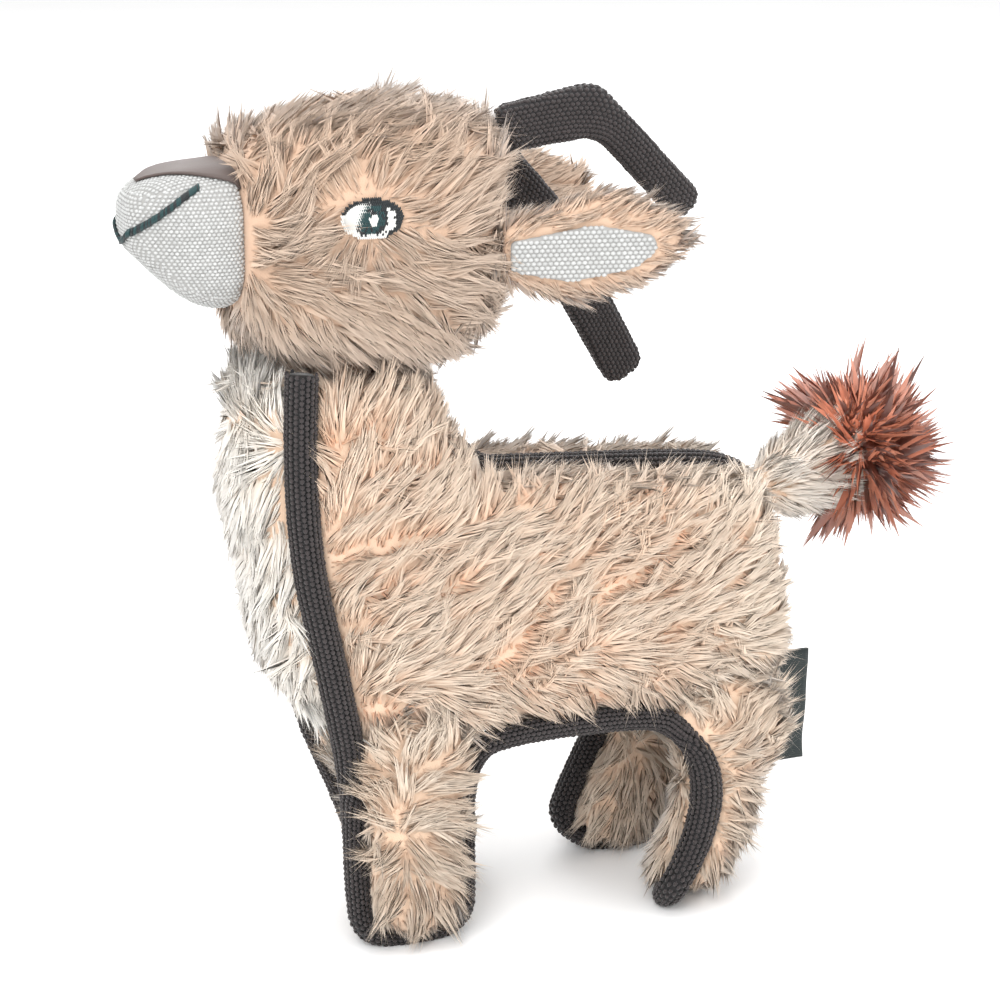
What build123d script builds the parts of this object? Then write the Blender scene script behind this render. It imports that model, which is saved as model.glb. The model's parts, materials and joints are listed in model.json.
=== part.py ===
"""Plush goat toy: fur panels over filling, woven webbing bindings, horns, ears, a tufted tail and a squeaker.

Millimetres, +Z up. The goat faces -X and its left side faces -Y. The pieces are drawn about the body, and at
the end they all move together so that the origin is the bottom centre of the whole toy's bounding box.
"""

import os
from math import cos, radians, sin

from build123d import *

# ---- driving dimensions --------------------------------------------------------------------------
cloth = 3.0  # thickness of a fur panel's backing with the base of its pile
weave = 2.0  # thickness of one layer of woven webbing or of the woven muzzle cloth
gap = 0.4  # free space between pieces that move against each other

body_half = 33.0  # half the body's thickness in Y
body_edge = 14.0  # rounding of the body's edges
chest_half = 25.0  # half the width of the chest panel
chest_edge = 11.0
neck_top = 203.0  # height of the neck seam
belly = 74.0  # height of the underside

hip_height = belly - 8.0
hip_radius = 20.0
hip_y = 21.0
shank_radius = 17.0  # half a leg's width, and the radius of its foot
leg_half = 12.0  # half a leg's thickness
leg_edge = 8.0
leg_rope = 9.0  # thickness of the binding round a leg
rope_start = 14.0  # how far below the hip the binding's ends are
front_hip_x = -34.0
rear_hip_x = 84.0

neck_axis_x = -52.0
neck_stub = 20.0  # radius of the stuffing between head and neck
head_side = 14.0  # where the cheek panels meet the crown panel
eye_at = (-49.0, 262.0)
eye_length, eye_height, eye_thick = 18.0, 11.0, 2.4

ear_root = (-2.0, 31.0, 246.0)  # x, distance from the middle, z
ear_angle = 12.0  # degrees that an ear stands away from the head
ear_back_thick = 6.0

horn_y = 16.0
horn_layer = 3.0  # half a horn's thickness
left_horn_root = (2.5, 284.5)
right_horn_root = (7.0, 271.0)
tail_root = (105.0, 143.0)
tail_rise = 17.0  # degrees above level
tuft_radius = 23.0
tuft_reach = 49.0  # from the tail's root to the tuft's middle

squeaker_at = (32.0, 0.0, 116.0)
squeaker_radius, squeaker_half, squeaker_wall, squeaker_edge = 19.0, 13.0, 1.2, 5.0
reed_radius, reed_length = 4.0, 6.0
belly_seam_y, belly_edge = 23.0, 8.0
sole_flat = 1.2  # how much of the binding's roundness is pressed flat under a foot
head_half = 37.0
head_lift = 8.0  # height of the free neck between the neck seam and the head
patch_thick = 0.9
nose_x, nose_edge_z, nose_reach, nose_half = -104.0, 263.0, 15.5, 13.0
smile = [(-98, 273.5), (-110, 267), (-127, 256)]  # upper edge of the stitched mouth
smile_under = [(-127, 253.6), (-111, 264.6), (-98, 271.1)]

label_middle = (117.0, 58.0)
label_length, label_height, label_thick = 28.0, 44.0, 2.2

# ---- outlines ------------------------------------------------------------------------------------
# Side views as corners (x, z) with the radius of each.
body_corners = [
    ((-74, 240), 14),
    ((-77, 160), 60),
    ((-55, belly), 14),
    ((92, belly), 20),
    ((110, 84), 14),
    ((109, 118), 40),
    ((100, 153), 16),
    ((20, 161), 40),
    ((-10, 161), 20),
    ((-42, 240), 14),
]
chest_corners = [
    ((-48, 240), 14),
    ((-82, 240), 14),
    ((-88, 165), 60),
    ((-74, 96), 40),
    ((-54, 76), 14),
    ((-28, 76), 14),
]
# The chest binding runs beside the neck and down to the front leg.
chest_seam = [(-70.5, 201), (-72.5, 160), (-56, 76)]
chest_bend = 120.0  # radius of the chest binding's bend
chest_rope_thick = 10.0
belly_seam = [(-8, belly + 3), (58, belly + 3)]
rope_y = body_half - 5.0  # how far the chest and belly bindings are from the middle
spine_seam = [(-26, 201), (-9, 163), (20, 161), (98, 155)]
spine_bends = [14, 30]
back_rope_height, back_rope_width = 7.0, 11.0
left_horn_corners = [
    ((1, 292), 2),
    ((37, 299), 10),
    ((77, 257), 5),
    ((67, 249), 5),
    ((37, 281), 12),
    ((3.6, 277), 2),
]
right_horn_corners = [
    ((13, 280), 2),
    ((37, 252), 40),
    ((69, 192), 5),
    ((57, 183), 5),
    ((28, 233), 60),
    ((1, 262), 2),
]
ear_corners = [((0, -8), 3), ((20, -15), 24), ((48, -9), 20), ((66, 7), 7), ((34, 20), 24), ((0, 9), 3)]
lining_corners = [((2, -5), 2), ((22, -9), 20), ((44, -5), 16), ((56, 5), 4), ((30, 10), 24), ((2, 5), 2)]
# Distances along the tail and from its axis.
sleeve_profile = [(2, 0), (2, 5), (12, 10), (28, 14), (39, 14), (42, 10), (42, 0)]
filling_profile = [(5, 0), (5, 3), (13, 7), (29, 11), (39, 11), (39, 0)]
# Cross-sections across the head and the muzzle: x, height of the centre, half width, half height.
head_sections = [
    (-87, 252, 24, 26),
    (-72, 250, 31, 35),
    (-45, 250, 37, 40),
    (-18, 250, 37, 39),
    (0, 258, 25, 27),
]
muzzle_sections = [(-87, 254, 23, 23), (-103, 254, 22, 21.5), (-115, 258, 17, 15), (-123, 259, 10, 8)]
corner_share = 0.75  # rounding of a cross-section's corners, as a share of its smaller half size

# One row a leg: name, side (-1 left, 1 right), hip x, then in degrees how far it leans forward, splays and
# toes out.
legs = [
    ("left_front", -1, front_hip_x, 0.0, 5.0, 0.0),
    ("right_front", 1, front_hip_x, -20.0, 4.0, 0.0),
    ("left_rear", -1, rear_hip_x, 18.0, 5.0, 55.0),
    ("right_rear", 1, rear_hip_x, 24.0, 4.0, 0.0),
]

side_view = Plane.XZ  # its local y is +Z, and its normal is -Y
finished = []  # every piece, in the order it is made


def keep(part, label):
    """Labels a finished piece and adds it to the list to export."""
    part.label = label
    finished.append(part)
    return part


def slab(plane, corners, half, edge, inset=0.0):
    """A stuffed slab: an outline thickened both ways, with rounded edges; inset makes it smaller."""
    with BuildPart() as made:
        with BuildSketch(plane):
            with BuildLine():
                FilletPolyline(*[point for point, _ in corners], radius=[r for _, r in corners], close=True)
            make_face()
            if inset:
                offset(amount=-inset, mode=Mode.REPLACE)
        extrude(amount=half - inset, both=True)
        if edge > inset:
            ends = made.faces().sort_by(Axis(plane.origin, plane.z_dir))
            fillet(ends[0].edges() + ends[-1].edges(), radius=edge - inset)
    return made.part


def loaf(sections, inset=0.0):
    """A loft through rounded cross-sections that stand across the X axis; inset makes it smaller."""
    last = len(sections) - 1
    inward = inset if sections[0][0] < sections[-1][0] else -inset
    with BuildPart() as made:
        for n, (x, z, half_width, half_height) in enumerate(sections):
            at = x + inward * ((n == 0) - (n == last))
            with BuildSketch(Plane(origin=(at, 0, z), x_dir=(0, 1, 0), z_dir=(1, 0, 0))):
                corner = corner_share * min(half_width, half_height) - inset
                RectangleRounded(2 * (half_width - inset), 2 * (half_height - inset), corner)
        loft()
    return made.part


def rope(points, radius, thickness, height=None):
    """A binding: a round or oval section swept along straight runs and tangent arcs."""
    with BuildPart() as made:
        with BuildLine() as path:
            if len(points) > 2:
                FilletPolyline(*points, radius=radius)
            else:
                Line(*points)
        with BuildSketch(path.line ^ 0):
            if height:
                Ellipse(thickness / 2, height / 2)
            else:
                Circle(thickness / 2)
        sweep()
    return made.part


def cut(shape, *others):
    """A shape without some other pieces."""
    with BuildPart() as made:
        add(shape)
        for other in others:
            add(other, mode=Mode.SUBTRACT)
    return made.part


def cut_to(shape, region):
    """The part of a shape inside a region."""
    with BuildPart() as made:
        add(shape)
        add(region, mode=Mode.INTERSECT)
    return made.part


def half_of(shape, plane, side):
    """The part of a shape on one side of a plane."""
    with BuildPart() as made:
        add(shape)
        split(bisect_by=plane, keep=side)
    return made.part


far = 400.0  # beyond everything

# ---- body ----------------------------------------------------------------------------------------


def hip_drum(side, x, extra):
    """The round top of a leg, about the axis that it turns on, larger by extra all round."""
    with BuildPart() as made:
        with BuildSketch(side_view.offset(-side * hip_y)):
            with Locations((x, hip_height)):
                Circle(hip_radius + extra)
        extrude(amount=leg_half + extra, both=True)
    return made.part


def at_side(points, y):
    """Corners of a side view as points in space at one y."""
    return [(x, y, z) for x, z in points]


body_ropes = {"back_binding": rope(at_side(spine_seam, 0), spine_bends, back_rope_height, back_rope_width)}
for side_name, side in (("left", -1), ("right", 1)):
    chest_rope = rope(at_side(chest_seam, side * rope_y), [chest_bend], chest_rope_thick)
    body_ropes[f"{side_name}_chest_binding"] = chest_rope
    belly_run = at_side(belly_seam, side * rope_y)
    body_ropes[f"{side_name}_belly_binding"] = rope(belly_run, None, leg_rope)

with BuildPart() as body_shape:
    add(slab(side_view, body_corners, body_half, body_edge))
    add(slab(side_view, chest_corners, chest_half, chest_edge))
    split(bisect_by=Plane.XY.offset(neck_top), keep=Keep.BOTTOM)
    for _, side, x, *_ in legs:
        add(hip_drum(side, x, gap), mode=Mode.SUBTRACT)
    for binding in body_ropes.values():
        add(binding, mode=Mode.SUBTRACT)
with BuildPart() as body_core:
    add(slab(side_view, body_corners, body_half, body_edge, cloth))
    add(slab(side_view, chest_corners, chest_half, chest_edge, cloth))
    split(bisect_by=Plane.XY.offset(neck_top - cloth), keep=Keep.BOTTOM)
    for _, side, x, *_ in legs:
        add(hip_drum(side, x, gap + cloth), mode=Mode.SUBTRACT)
    for binding in body_ropes.values():
        add(binding, mode=Mode.SUBTRACT)

with BuildPart() as squeaker_shape:
    with BuildSketch(side_view.offset(-squeaker_half)):
        with Locations((squeaker_at[0], squeaker_at[2])):
            Circle(squeaker_radius)
    extrude(amount=2 * squeaker_half)
    fillet(squeaker_shape.edges(), radius=squeaker_edge)
with BuildPart() as squeaker_space:
    with BuildSketch(side_view.offset(-squeaker_half + squeaker_wall)):
        with Locations((squeaker_at[0], squeaker_at[2])):
            Circle(squeaker_radius - squeaker_wall)
    extrude(amount=2 * (squeaker_half - squeaker_wall))
    fillet(squeaker_space.edges(), radius=squeaker_edge - squeaker_wall)
with BuildPart() as squeaker_reed:
    with BuildSketch(side_view.offset(-squeaker_half + squeaker_wall)):
        with Locations((squeaker_at[0], squeaker_at[2])):
            Circle(reed_radius)
    extrude(amount=reed_length)

for name, piece in body_ropes.items():
    keep(piece, name)
keep(cut(body_core.part, squeaker_shape.part), "body_filling")
keep(cut(squeaker_shape.part, squeaker_space.part), "squeaker_bellows")
keep(squeaker_reed.part, "squeaker_reed")

# The fur of the body: the chest panel lies in front of the chest bindings, the belly panel between the legs,
# and the two side panels meet along the back and the rump.
body_skin = cut(body_shape.part, body_core.part)
with BuildPart() as chest_region:
    with BuildSketch(side_view):
        ends = (-far, far), (chest_seam[0][0], far), (chest_seam[-1][0], 0), (-far, 0)
        Polygon(*ends[:2], *chest_seam, *ends[2:], align=None)
    extrude(amount=far, both=True)
with BuildPart() as belly_region:
    with Locations((far + chest_seam[-1][0], 0, belly)):
        Box(2 * far, 2 * belly_seam_y, 2 * belly_edge)
    add(chest_region.part, mode=Mode.SUBTRACT)
keep(cut_to(body_skin, chest_region.part), "chest_panel")
keep(cut_to(body_skin, belly_region.part), "belly_panel")
side_skin = cut(body_skin, chest_region.part, belly_region.part)
keep(half_of(side_skin, side_view, Keep.TOP), "left_side_panel")
keep(half_of(side_skin, side_view, Keep.BOTTOM), "right_side_panel")

with BuildPart() as sewn_label:
    with BuildSketch(Plane.XY.offset(label_middle[1] - label_height / 2)):
        with Locations((label_middle[0], 0)):
            RectangleRounded(label_length, label_thick, 0.45 * label_thick)
            Rectangle(label_length - 2 * label_thick, label_thick / 3, mode=Mode.SUBTRACT)
    extrude(amount=label_height)
    add(body_shape.part, mode=Mode.SUBTRACT)
keep(sewn_label.part, "sewn_label")

# ---- legs ----------------------------------------------------------------------------------------


def leg_plane(side, x, lean, splay, toe_out):
    """The middle plane of a leg: its origin is the hip, its x points at the toe and its y up the leg."""
    toe = Vector(-cos(radians(toe_out)), side * sin(radians(toe_out)), 0)
    upright = cos(radians(lean)) * cos(radians(splay))
    up = Vector(sin(radians(lean)), -side * sin(radians(splay)), upright).normalized()
    toe = (toe - up * toe.dot(up)).normalized()
    return Plane(origin=(x, side * hip_y, hip_height), x_dir=toe, z_dir=toe.cross(up))


def leg_body(plane, length, side, x, inset=0.0):
    """A leg's stuffed shape: a round-footed slab under the hip and the drum that turns in the body."""
    with BuildPart() as made:
        with BuildSketch(plane):
            with Locations((0, -length / 2)):
                SlotCenterToCenter(length, 2 * (shank_radius - inset), rotation=90)
        extrude(amount=leg_half - inset, both=True)
        flats = made.faces().filter_by(GeomType.PLANE).sort_by(Axis(plane.origin, plane.z_dir))
        fillet(flats[0].edges() + flats[-1].edges(), leg_edge - inset)
        split(bisect_by=Plane.XY.offset(hip_height - inset), keep=Keep.BOTTOM)
        add(hip_drum(side, x, -inset))
    return made.part


def leg_binding(plane, length):
    """The binding down one edge of a leg, round its foot and up the other edge, flat where it stands."""
    r = shank_radius
    with BuildPart() as made:
        with BuildLine(plane) as path:
            Line((r, -rope_start), (r, -length))
            ThreePointArc((r, -length), (0, -length - r), (-r, -length))
            Line((-r, -length), (-r, -rope_start))
        with BuildSketch(path.line ^ 0):
            Circle(leg_rope / 2)
        sweep()
        split(bisect_by=Plane.XY, keep=Keep.TOP)
    return made.part


for leg, side, x, lean, splay, toe_out in legs:
    plane = leg_plane(side, x, lean, splay, toe_out)
    length = (hip_height - shank_radius - leg_rope / 2 + sole_flat) / plane.y_dir.Z
    binding = leg_binding(plane, length)
    filling = cut(leg_body(plane, length, side, x, cloth), binding)
    skin = cut(leg_body(plane, length, side, x), filling, binding)
    outer, inner = (Keep.BOTTOM, Keep.TOP) if side < 0 else (Keep.TOP, Keep.BOTTOM)
    keep(half_of(skin, plane, outer), f"{leg}_leg_outer_panel")
    keep(half_of(skin, plane, inner), f"{leg}_leg_inner_panel")
    keep(filling, f"{leg}_leg_filling")
    keep(binding, f"{leg}_leg_binding")

# ---- head ----------------------------------------------------------------------------------------


def eye_disc(side):
    """The oval of embroidery on one cheek."""
    with BuildPart() as made:
        with BuildSketch(side_view.offset(-side * (head_half - eye_thick / 2))):
            with Locations(eye_at):
                Ellipse(eye_length / 2, eye_height / 2)
        extrude(amount=-side * eye_thick)
    return made.part


eyes = {"left_eye": eye_disc(-1), "right_eye": eye_disc(1)}
with BuildPart() as neck_filling:
    with BuildSketch(Plane.XY.offset(neck_top + gap)):
        with Locations((neck_axis_x, 0)):
            Circle(neck_stub)
    extrude(amount=head_lift + 2 * cloth)
head_core = loaf(head_sections, cloth)
with BuildPart() as head_filling:
    add(head_core)
    add(neck_filling.part)
    for eye in eyes.values():
        add(eye, mode=Mode.SUBTRACT)
head_skin = cut(loaf(head_sections), head_filling.part, *eyes.values())
with BuildPart() as crown_region:
    Box(2 * far, 2 * head_side, 2 * far)
cheeks = cut(head_skin, crown_region.part)
keep(cut_to(head_skin, crown_region.part), "head_crown_panel")
keep(half_of(cheeks, side_view, Keep.TOP), "head_left_panel")
keep(half_of(cheeks, side_view, Keep.BOTTOM), "head_right_panel")
keep(head_filling.part, "head_filling")
for name, eye in eyes.items():
    keep(eye, name)

muzzle_shape = loaf(muzzle_sections)
with BuildPart() as muzzle_filling:
    add(loaf(muzzle_sections, weave))
    muzzle_back = (muzzle_sections[0][0], 0, muzzle_sections[0][1])
    with BuildSketch(Plane(origin=muzzle_back, x_dir=(0, 1, 0), z_dir=(-1, 0, 0))):
        Circle(neck_stub - weave)
    extrude(amount=2 * weave)
keep(cut(muzzle_shape, muzzle_filling.part), "muzzle_panel")
keep(muzzle_filling.part, "muzzle_filling")
muzzle_wrap = cut(loaf(muzzle_sections, -patch_thick), muzzle_shape)
with BuildPart() as nose_region:
    with Locations((nose_x, 0, nose_edge_z + far / 2)):
        Box(2 * nose_reach, 2 * nose_half, far)
keep(cut_to(muzzle_wrap, nose_region.part), "nose_patch")
with BuildPart() as mouth_region:
    with BuildSketch(side_view):
        with BuildLine():
            ThreePointArc(*smile)
            Line(smile[-1], smile_under[0])
            ThreePointArc(*smile_under)
            Line(smile_under[-1], smile[0])
        make_face()
    extrude(amount=far, both=True)
keep(cut_to(cut(muzzle_wrap, nose_region.part), mouth_region.part), "mouth_stitching")

# ---- ears ----------------------------------------------------------------------------------------
joints = {"head_turn": ((neck_axis_x, 0, neck_top), (0, 0, 1))}


def layer(plane, corners, thickness):
    """A flat piece of one outline, standing on its plane."""
    with BuildPart() as made:
        with BuildSketch(plane):
            with BuildLine():
                FilletPolyline(*[point for point, _ in corners], radius=[r for _, r in corners], close=True)
            make_face()
        extrude(amount=thickness)
    return made.part


for side_name, side in (("left", -1), ("right", 1)):
    along = Vector(cos(radians(ear_angle)), side * sin(radians(ear_angle)), 0)
    outward = Vector(-side * along.Y, side * along.X, 0)
    root = Vector(ear_root[0], side * ear_root[1], ear_root[2])
    # Seen from outside, the right ear's outline is the left one's mirror image.
    corners = [((-side * u, v), r) for (u, v), r in ear_corners]
    lining = [((-side * u, v), r) for (u, v), r in lining_corners]
    back_plane = Plane(origin=root, x_dir=along * -side, z_dir=outward)
    keep(layer(back_plane, corners, ear_back_thick), f"{side_name}_ear_back")
    keep(layer(back_plane.offset(ear_back_thick), lining, weave), f"{side_name}_ear_lining")
    joints[f"{side_name}_ear_flop"] = (tuple(root + outward * (ear_back_thick / 2)), (0, 0, 1))

# ---- horns ---------------------------------------------------------------------------------------
horns = (("left", -1, left_horn_corners, left_horn_root), ("right", 1, right_horn_corners, right_horn_root))
for side_name, side, corners, root in horns:
    # Two layers of webbing, sewn together at the edges.
    middle = side_view.offset(-side * horn_y)
    outward = horn_layer if side < 0 else -horn_layer
    keep(layer(middle, corners, outward), f"{side_name}_horn_outer_webbing")
    keep(layer(middle, corners, -outward), f"{side_name}_horn_inner_webbing")
    joints[f"{side_name}_horn_flex"] = ((root[0], side * horn_y, root[1]), (0, 1, 0))

# ---- tail ----------------------------------------------------------------------------------------
tail_way = Vector(cos(radians(tail_rise)), 0, sin(radians(tail_rise)))
tail_start = Vector(tail_root[0], 0, tail_root[1])
tail_plane = Plane(origin=tail_start, x_dir=tail_way, z_dir=(0, -1, 0))


def turned(profile):
    """A solid of revolution about the tail's axis."""
    with BuildPart() as made:
        with BuildSketch(tail_plane):
            with BuildLine():
                Polyline(*profile, close=True)
            make_face()
        revolve(axis=Axis(tail_start, tail_way))
    return made.part


sleeve = turned(sleeve_profile)
tail_filling = turned(filling_profile)
with BuildPart() as tail_tuft:
    with Locations(tail_start + tail_way * tuft_reach):
        Sphere(tuft_radius)
    add(sleeve, mode=Mode.SUBTRACT)
keep(cut(sleeve, tail_filling), "tail_sleeve")
keep(tail_filling, "tail_filling")
keep(tail_tuft.part, "tail_tuft")
joints["tail_wag"] = (tuple(tail_start), (0, 0, 1))
for leg, side, x, *_ in legs:
    joints[f"{leg}_leg_swing"] = ((x, side * hip_y, hip_height), (0, 1, 0))

# ---- all pieces to their places ------------------------------------------------------------------
# The feet already stand on z = 0 and the ears reach equally far to both sides, so the move is along X only.
boxes = [piece.bounding_box() for piece in finished]
front, back = min(box.min.X for box in boxes), max(box.max.X for box in boxes)
shift = Vector(-(front + back) / 2, 0, 0)
os.makedirs("parts", exist_ok=True)
for piece in finished:
    name = piece.label
    moved = piece.moved(Location(shift))
    moved.label = name
    export_step(moved, f"parts/{name}.step")
print("length", round(back - front, 2), "moved", round(shift.X, 3))
for name, (point, axis) in joints.items():
    print(name, [round(v, 3) for v in Vector(point) + shift], axis)
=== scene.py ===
import json
from math import cos, pi, radians, sin

import bmesh
import bpy
import numpy as np
from bpy.props import FloatProperty, FloatVectorProperty, IntProperty, PointerProperty
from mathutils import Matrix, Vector, noise
from mathutils.bvhtree import BVHTree
from mathutils.kdtree import KDTree


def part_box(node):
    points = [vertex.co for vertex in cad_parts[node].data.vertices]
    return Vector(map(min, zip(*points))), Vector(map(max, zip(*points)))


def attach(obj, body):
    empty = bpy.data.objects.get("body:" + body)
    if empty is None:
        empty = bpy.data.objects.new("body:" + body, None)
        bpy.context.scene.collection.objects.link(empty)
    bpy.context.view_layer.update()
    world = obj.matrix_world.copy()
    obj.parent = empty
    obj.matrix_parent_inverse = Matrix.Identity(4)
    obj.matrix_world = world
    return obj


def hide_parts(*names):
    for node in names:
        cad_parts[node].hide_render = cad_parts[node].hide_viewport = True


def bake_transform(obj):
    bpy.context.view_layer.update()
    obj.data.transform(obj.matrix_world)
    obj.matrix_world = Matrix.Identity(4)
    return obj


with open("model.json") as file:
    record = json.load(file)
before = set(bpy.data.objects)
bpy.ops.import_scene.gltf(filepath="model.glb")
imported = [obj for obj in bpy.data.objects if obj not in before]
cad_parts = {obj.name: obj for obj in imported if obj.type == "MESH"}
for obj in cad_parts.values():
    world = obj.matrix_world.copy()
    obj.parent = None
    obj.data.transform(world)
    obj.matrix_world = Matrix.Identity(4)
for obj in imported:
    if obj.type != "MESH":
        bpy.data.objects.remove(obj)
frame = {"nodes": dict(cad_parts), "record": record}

bl_info = {
    "name": "Plush goat",
    "version": (1, 0, 0),
    "blender": (4, 5, 0),
    "location": "3D View > Sidebar > Goat",
    "description": "Makes a stuffed goat of faux fur and woven webbing round its packed frame",
    "category": "Object",
}

MM = 0.001
JOINTS = {joint["name"]: joint for joint in frame["record"]["behaviour"]["joints"]}
LEGS = ("left_front", "right_front", "left_rear", "right_rear")

# The frame's pieces were drawn about the body and then moved along X; the front hips give the move.
FRONT_HIP_X = -34.0
MOVED_X = JOINTS["left_front_leg_swing"]["pos_m"][0] / MM - FRONT_HIP_X


def place(x, y, z):
    """A point given in the body's own millimetres, in metres in the frame."""
    return Vector(((x + MOVED_X) * MM, y * MM, z * MM))


def tone(red, green, blue):
    """A colour of 0 to 255 as the linear colour that shaders take."""
    shares = [value / 255 for value in (red, green, blue)]
    return tuple(((c + 0.055) / 1.055) ** 2.4 if c > 0.04 else c / 12.92 for c in shares)


# ---- settings ----------------------------------------------------------------


def colour(name, description, value):
    return FloatVectorProperty(name=name, description=description, default=value, size=3, subtype="COLOR",
                               min=0, max=1)


def length(name, description, value):
    return FloatProperty(name=name, description=description, default=value, unit="LENGTH", subtype="DISTANCE",
                         min=0.0001)


class GoatFur(bpy.types.PropertyGroup):
    """Pile of the fur panels."""

    pile: length("Pile length", "Length of the strands on the body", 9.5 * MM)
    spacing: length("Lock spacing", "Distance between the locks of strands on the body", 1.9 * MM)
    root: colour("Root colour", "Colour deep in the parted pile", tone(222, 168, 134))
    middle: colour("Middle colour", "Colour half way up the strands", tone(224, 198, 173))
    tip: colour("Tip colour", "Colour of the strands' tips", tone(238, 222, 204))
    head: colour("Head colour", "Colour of the tips on the head", tone(228, 208, 190))
    chest: colour("Chest colour", "Colour of the tips on the chest", tone(255, 252, 246))
    tuft_root: colour("Tuft root colour", "Colour deep in the tail tuft", tone(172, 84, 52))
    tuft_tip: colour("Tuft tip colour", "Colour of the tuft's tips", tone(226, 150, 120))


class GoatWeave(bpy.types.PropertyGroup):
    """Webbing and woven cloth."""

    pitch: length("Yarn pitch", "Distance between yarn floats along the webbing", 1.9 * MM)
    row: length("Yarn row", "Distance between rows of floats across the webbing", 1.5 * MM)
    binding: length("Binding radius", "Half the thickness of a seam binding", 4.3 * MM)
    dark: colour("Webbing colour", "Colour of the webbing's yarns", tone(46, 38, 38))
    # Painted shade: the webbing's colour low between its yarn floats.
    deep: colour("Webbing shade", "Colour between the webbing's yarns", tone(20, 17, 19))
    white: colour("White yarn", "Colour of the muzzle and ear cloth", tone(184, 185, 184))
    # Painted shade: the white cloth's colour low between its yarn floats.
    white_gap_shade: colour("White yarn's shade", "Colour between the white yarns", tone(154, 153, 151))


class GoatTrim(bpy.types.PropertyGroup):
    """Nose, embroidery and label."""

    nose: colour("Nose colour", "Colour of the satin nose patch", tone(76, 64, 60))
    teal: colour("Iris thread", "Colour of the iris and the mouth", tone(14, 58, 60))
    black: colour("Dark thread", "Colour of the eye's outline", tone(16, 24, 28))
    label: colour("Label colour", "Colour of the sewn ribbon", tone(16, 30, 30))


class GoatSettings(bpy.types.PropertyGroup):
    """All sizes and colours of the goat."""

    fur: PointerProperty(type=GoatFur, name="Fur", description="Pile of the fur panels")
    weave: PointerProperty(type=GoatWeave, name="Weave", description="Webbing and woven cloth")
    trim: PointerProperty(type=GoatTrim, name="Trim", description="Nose, embroidery and label")
    seed: IntProperty(name="Seed", description="Start of every random draw", default=7)


def goat():
    return bpy.context.scene.goat


# ---- materials ---------------------------------------------------------------


class Value:
    """A shader socket on which Python arithmetic adds Math nodes."""

    def __init__(self, finish, socket):
        self.finish = finish
        self.socket = socket

    def maths(self, operation, *values):
        return self.finish.node("ShaderNodeMath", {"operation": operation}, dict(enumerate(values)))

    def __add__(self, other):
        return self.maths("ADD", self, other)

    def __sub__(self, other):
        return self.maths("SUBTRACT", self, other)

    def __rsub__(self, other):
        return self.maths("SUBTRACT", other, self)

    def __mul__(self, other):
        return self.maths("MULTIPLY", self, other)

    def __pow__(self, other):
        return self.maths("POWER", self, other)

    __radd__ = __add__
    __rmul__ = __mul__


class Finish:
    """A node material: node() adds any node, and out() feeds the shader."""

    def __init__(self, name, **constants):
        self.material = bpy.data.materials.new(name)
        self.material.use_nodes = True
        self.tree = self.material.node_tree
        self.shader = self.tree.nodes["Principled BSDF"]
        for socket, value in constants.items():
            self.shader.inputs[socket.replace("_", " ")].default_value = value

    def node(self, kind, settings=None, inputs=None, output=0):
        made = self.tree.nodes.new(kind)
        for key, value in (settings or {}).items():
            if key == "ramp":
                stops = made.color_ramp.elements
                while len(stops) < len(value):
                    stops.new(0.5)
                for stop, (at, shade) in zip(stops, value):
                    stop.position = at
                    stop.color = (*shade, 1)
            else:
                setattr(made, key, value)
        for key, value in (inputs or {}).items():
            self.feed(made.inputs[key], value)
        return Value(self, made.outputs[output])

    def feed(self, socket, value):
        if isinstance(value, Value):
            self.tree.links.new(value.socket, socket)
        elif socket.type == "RGBA" and len(value) == 3:
            socket.default_value = (*value, 1)
        else:
            socket.default_value = value

    def out(self, **links):
        for socket, value in links.items():
            self.feed(self.shader.inputs[socket.replace("_", " ")], value)
        return self.material

    def blend(self, factor, first, second):
        settings = {"data_type": "RGBA"}
        return self.node("ShaderNodeMix", settings, {0: factor, 6: first, 7: second}, output=2)

    def map_axes(self):
        """The strand map: how pale the strand is, and how far along it."""
        uv = self.node("ShaderNodeUVMap", {"uv_map": "OFBake"})
        split = self.node("ShaderNodeSeparateXYZ", None, {0: uv})
        return split, Value(self, split.socket.node.outputs[1])

    def grain(self, scale, detail=2.0):
        place_of = self.node("ShaderNodeTexCoord", output=3)
        return self.node("ShaderNodeTexNoise", None, {"Vector": place_of, "Scale": scale, "Detail": detail})

    def bump(self, height, strength, distance):
        inputs = {"Strength": strength, "Distance": distance, "Height": height}
        return self.node("ShaderNodeBump", None, inputs)


def strand_finish(name, root, middle, tip, rough=0.8, sheen=0.4):
    """Pile: dark at the roots, pale at the tips, and paler or deeper from strand to strand."""
    finish = Finish(name, Roughness=rough, Sheen_Weight=sheen, Sheen_Roughness=0.5, Specular_IOR_Level=0.25)
    pale, along = finish.map_axes()
    low = finish.blend(along, root, middle)
    high = finish.blend(along ** 0.7, middle, tip)
    return finish.out(Base_Color=finish.blend(pale, low, high), Roughness=rough + 0.1 * along)


def float_finish(name, deep, top, rough):
    """Woven yarn: painted shade low between the floats, a painted highlight on their tops, and the floats a
    little different from one to the next.
    """
    finish = Finish(name, Roughness=rough, Sheen_Weight=0.2, Specular_IOR_Level=0.35)
    pale, along = finish.map_axes()
    # Painted shade: the low part of each float, and the core between the floats, take the deep colour.
    shade = finish.blend(along, deep, top)
    # Painted highlight: the tops of the floats are lightened.
    float_highlight = tuple(min(1.0, c * 1.35 + 0.01) for c in top)
    colour_of = finish.blend(pale * along * 0.6, shade, float_highlight)
    return finish.out(Base_Color=colour_of, Roughness=rough - 0.1 * along)


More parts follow.
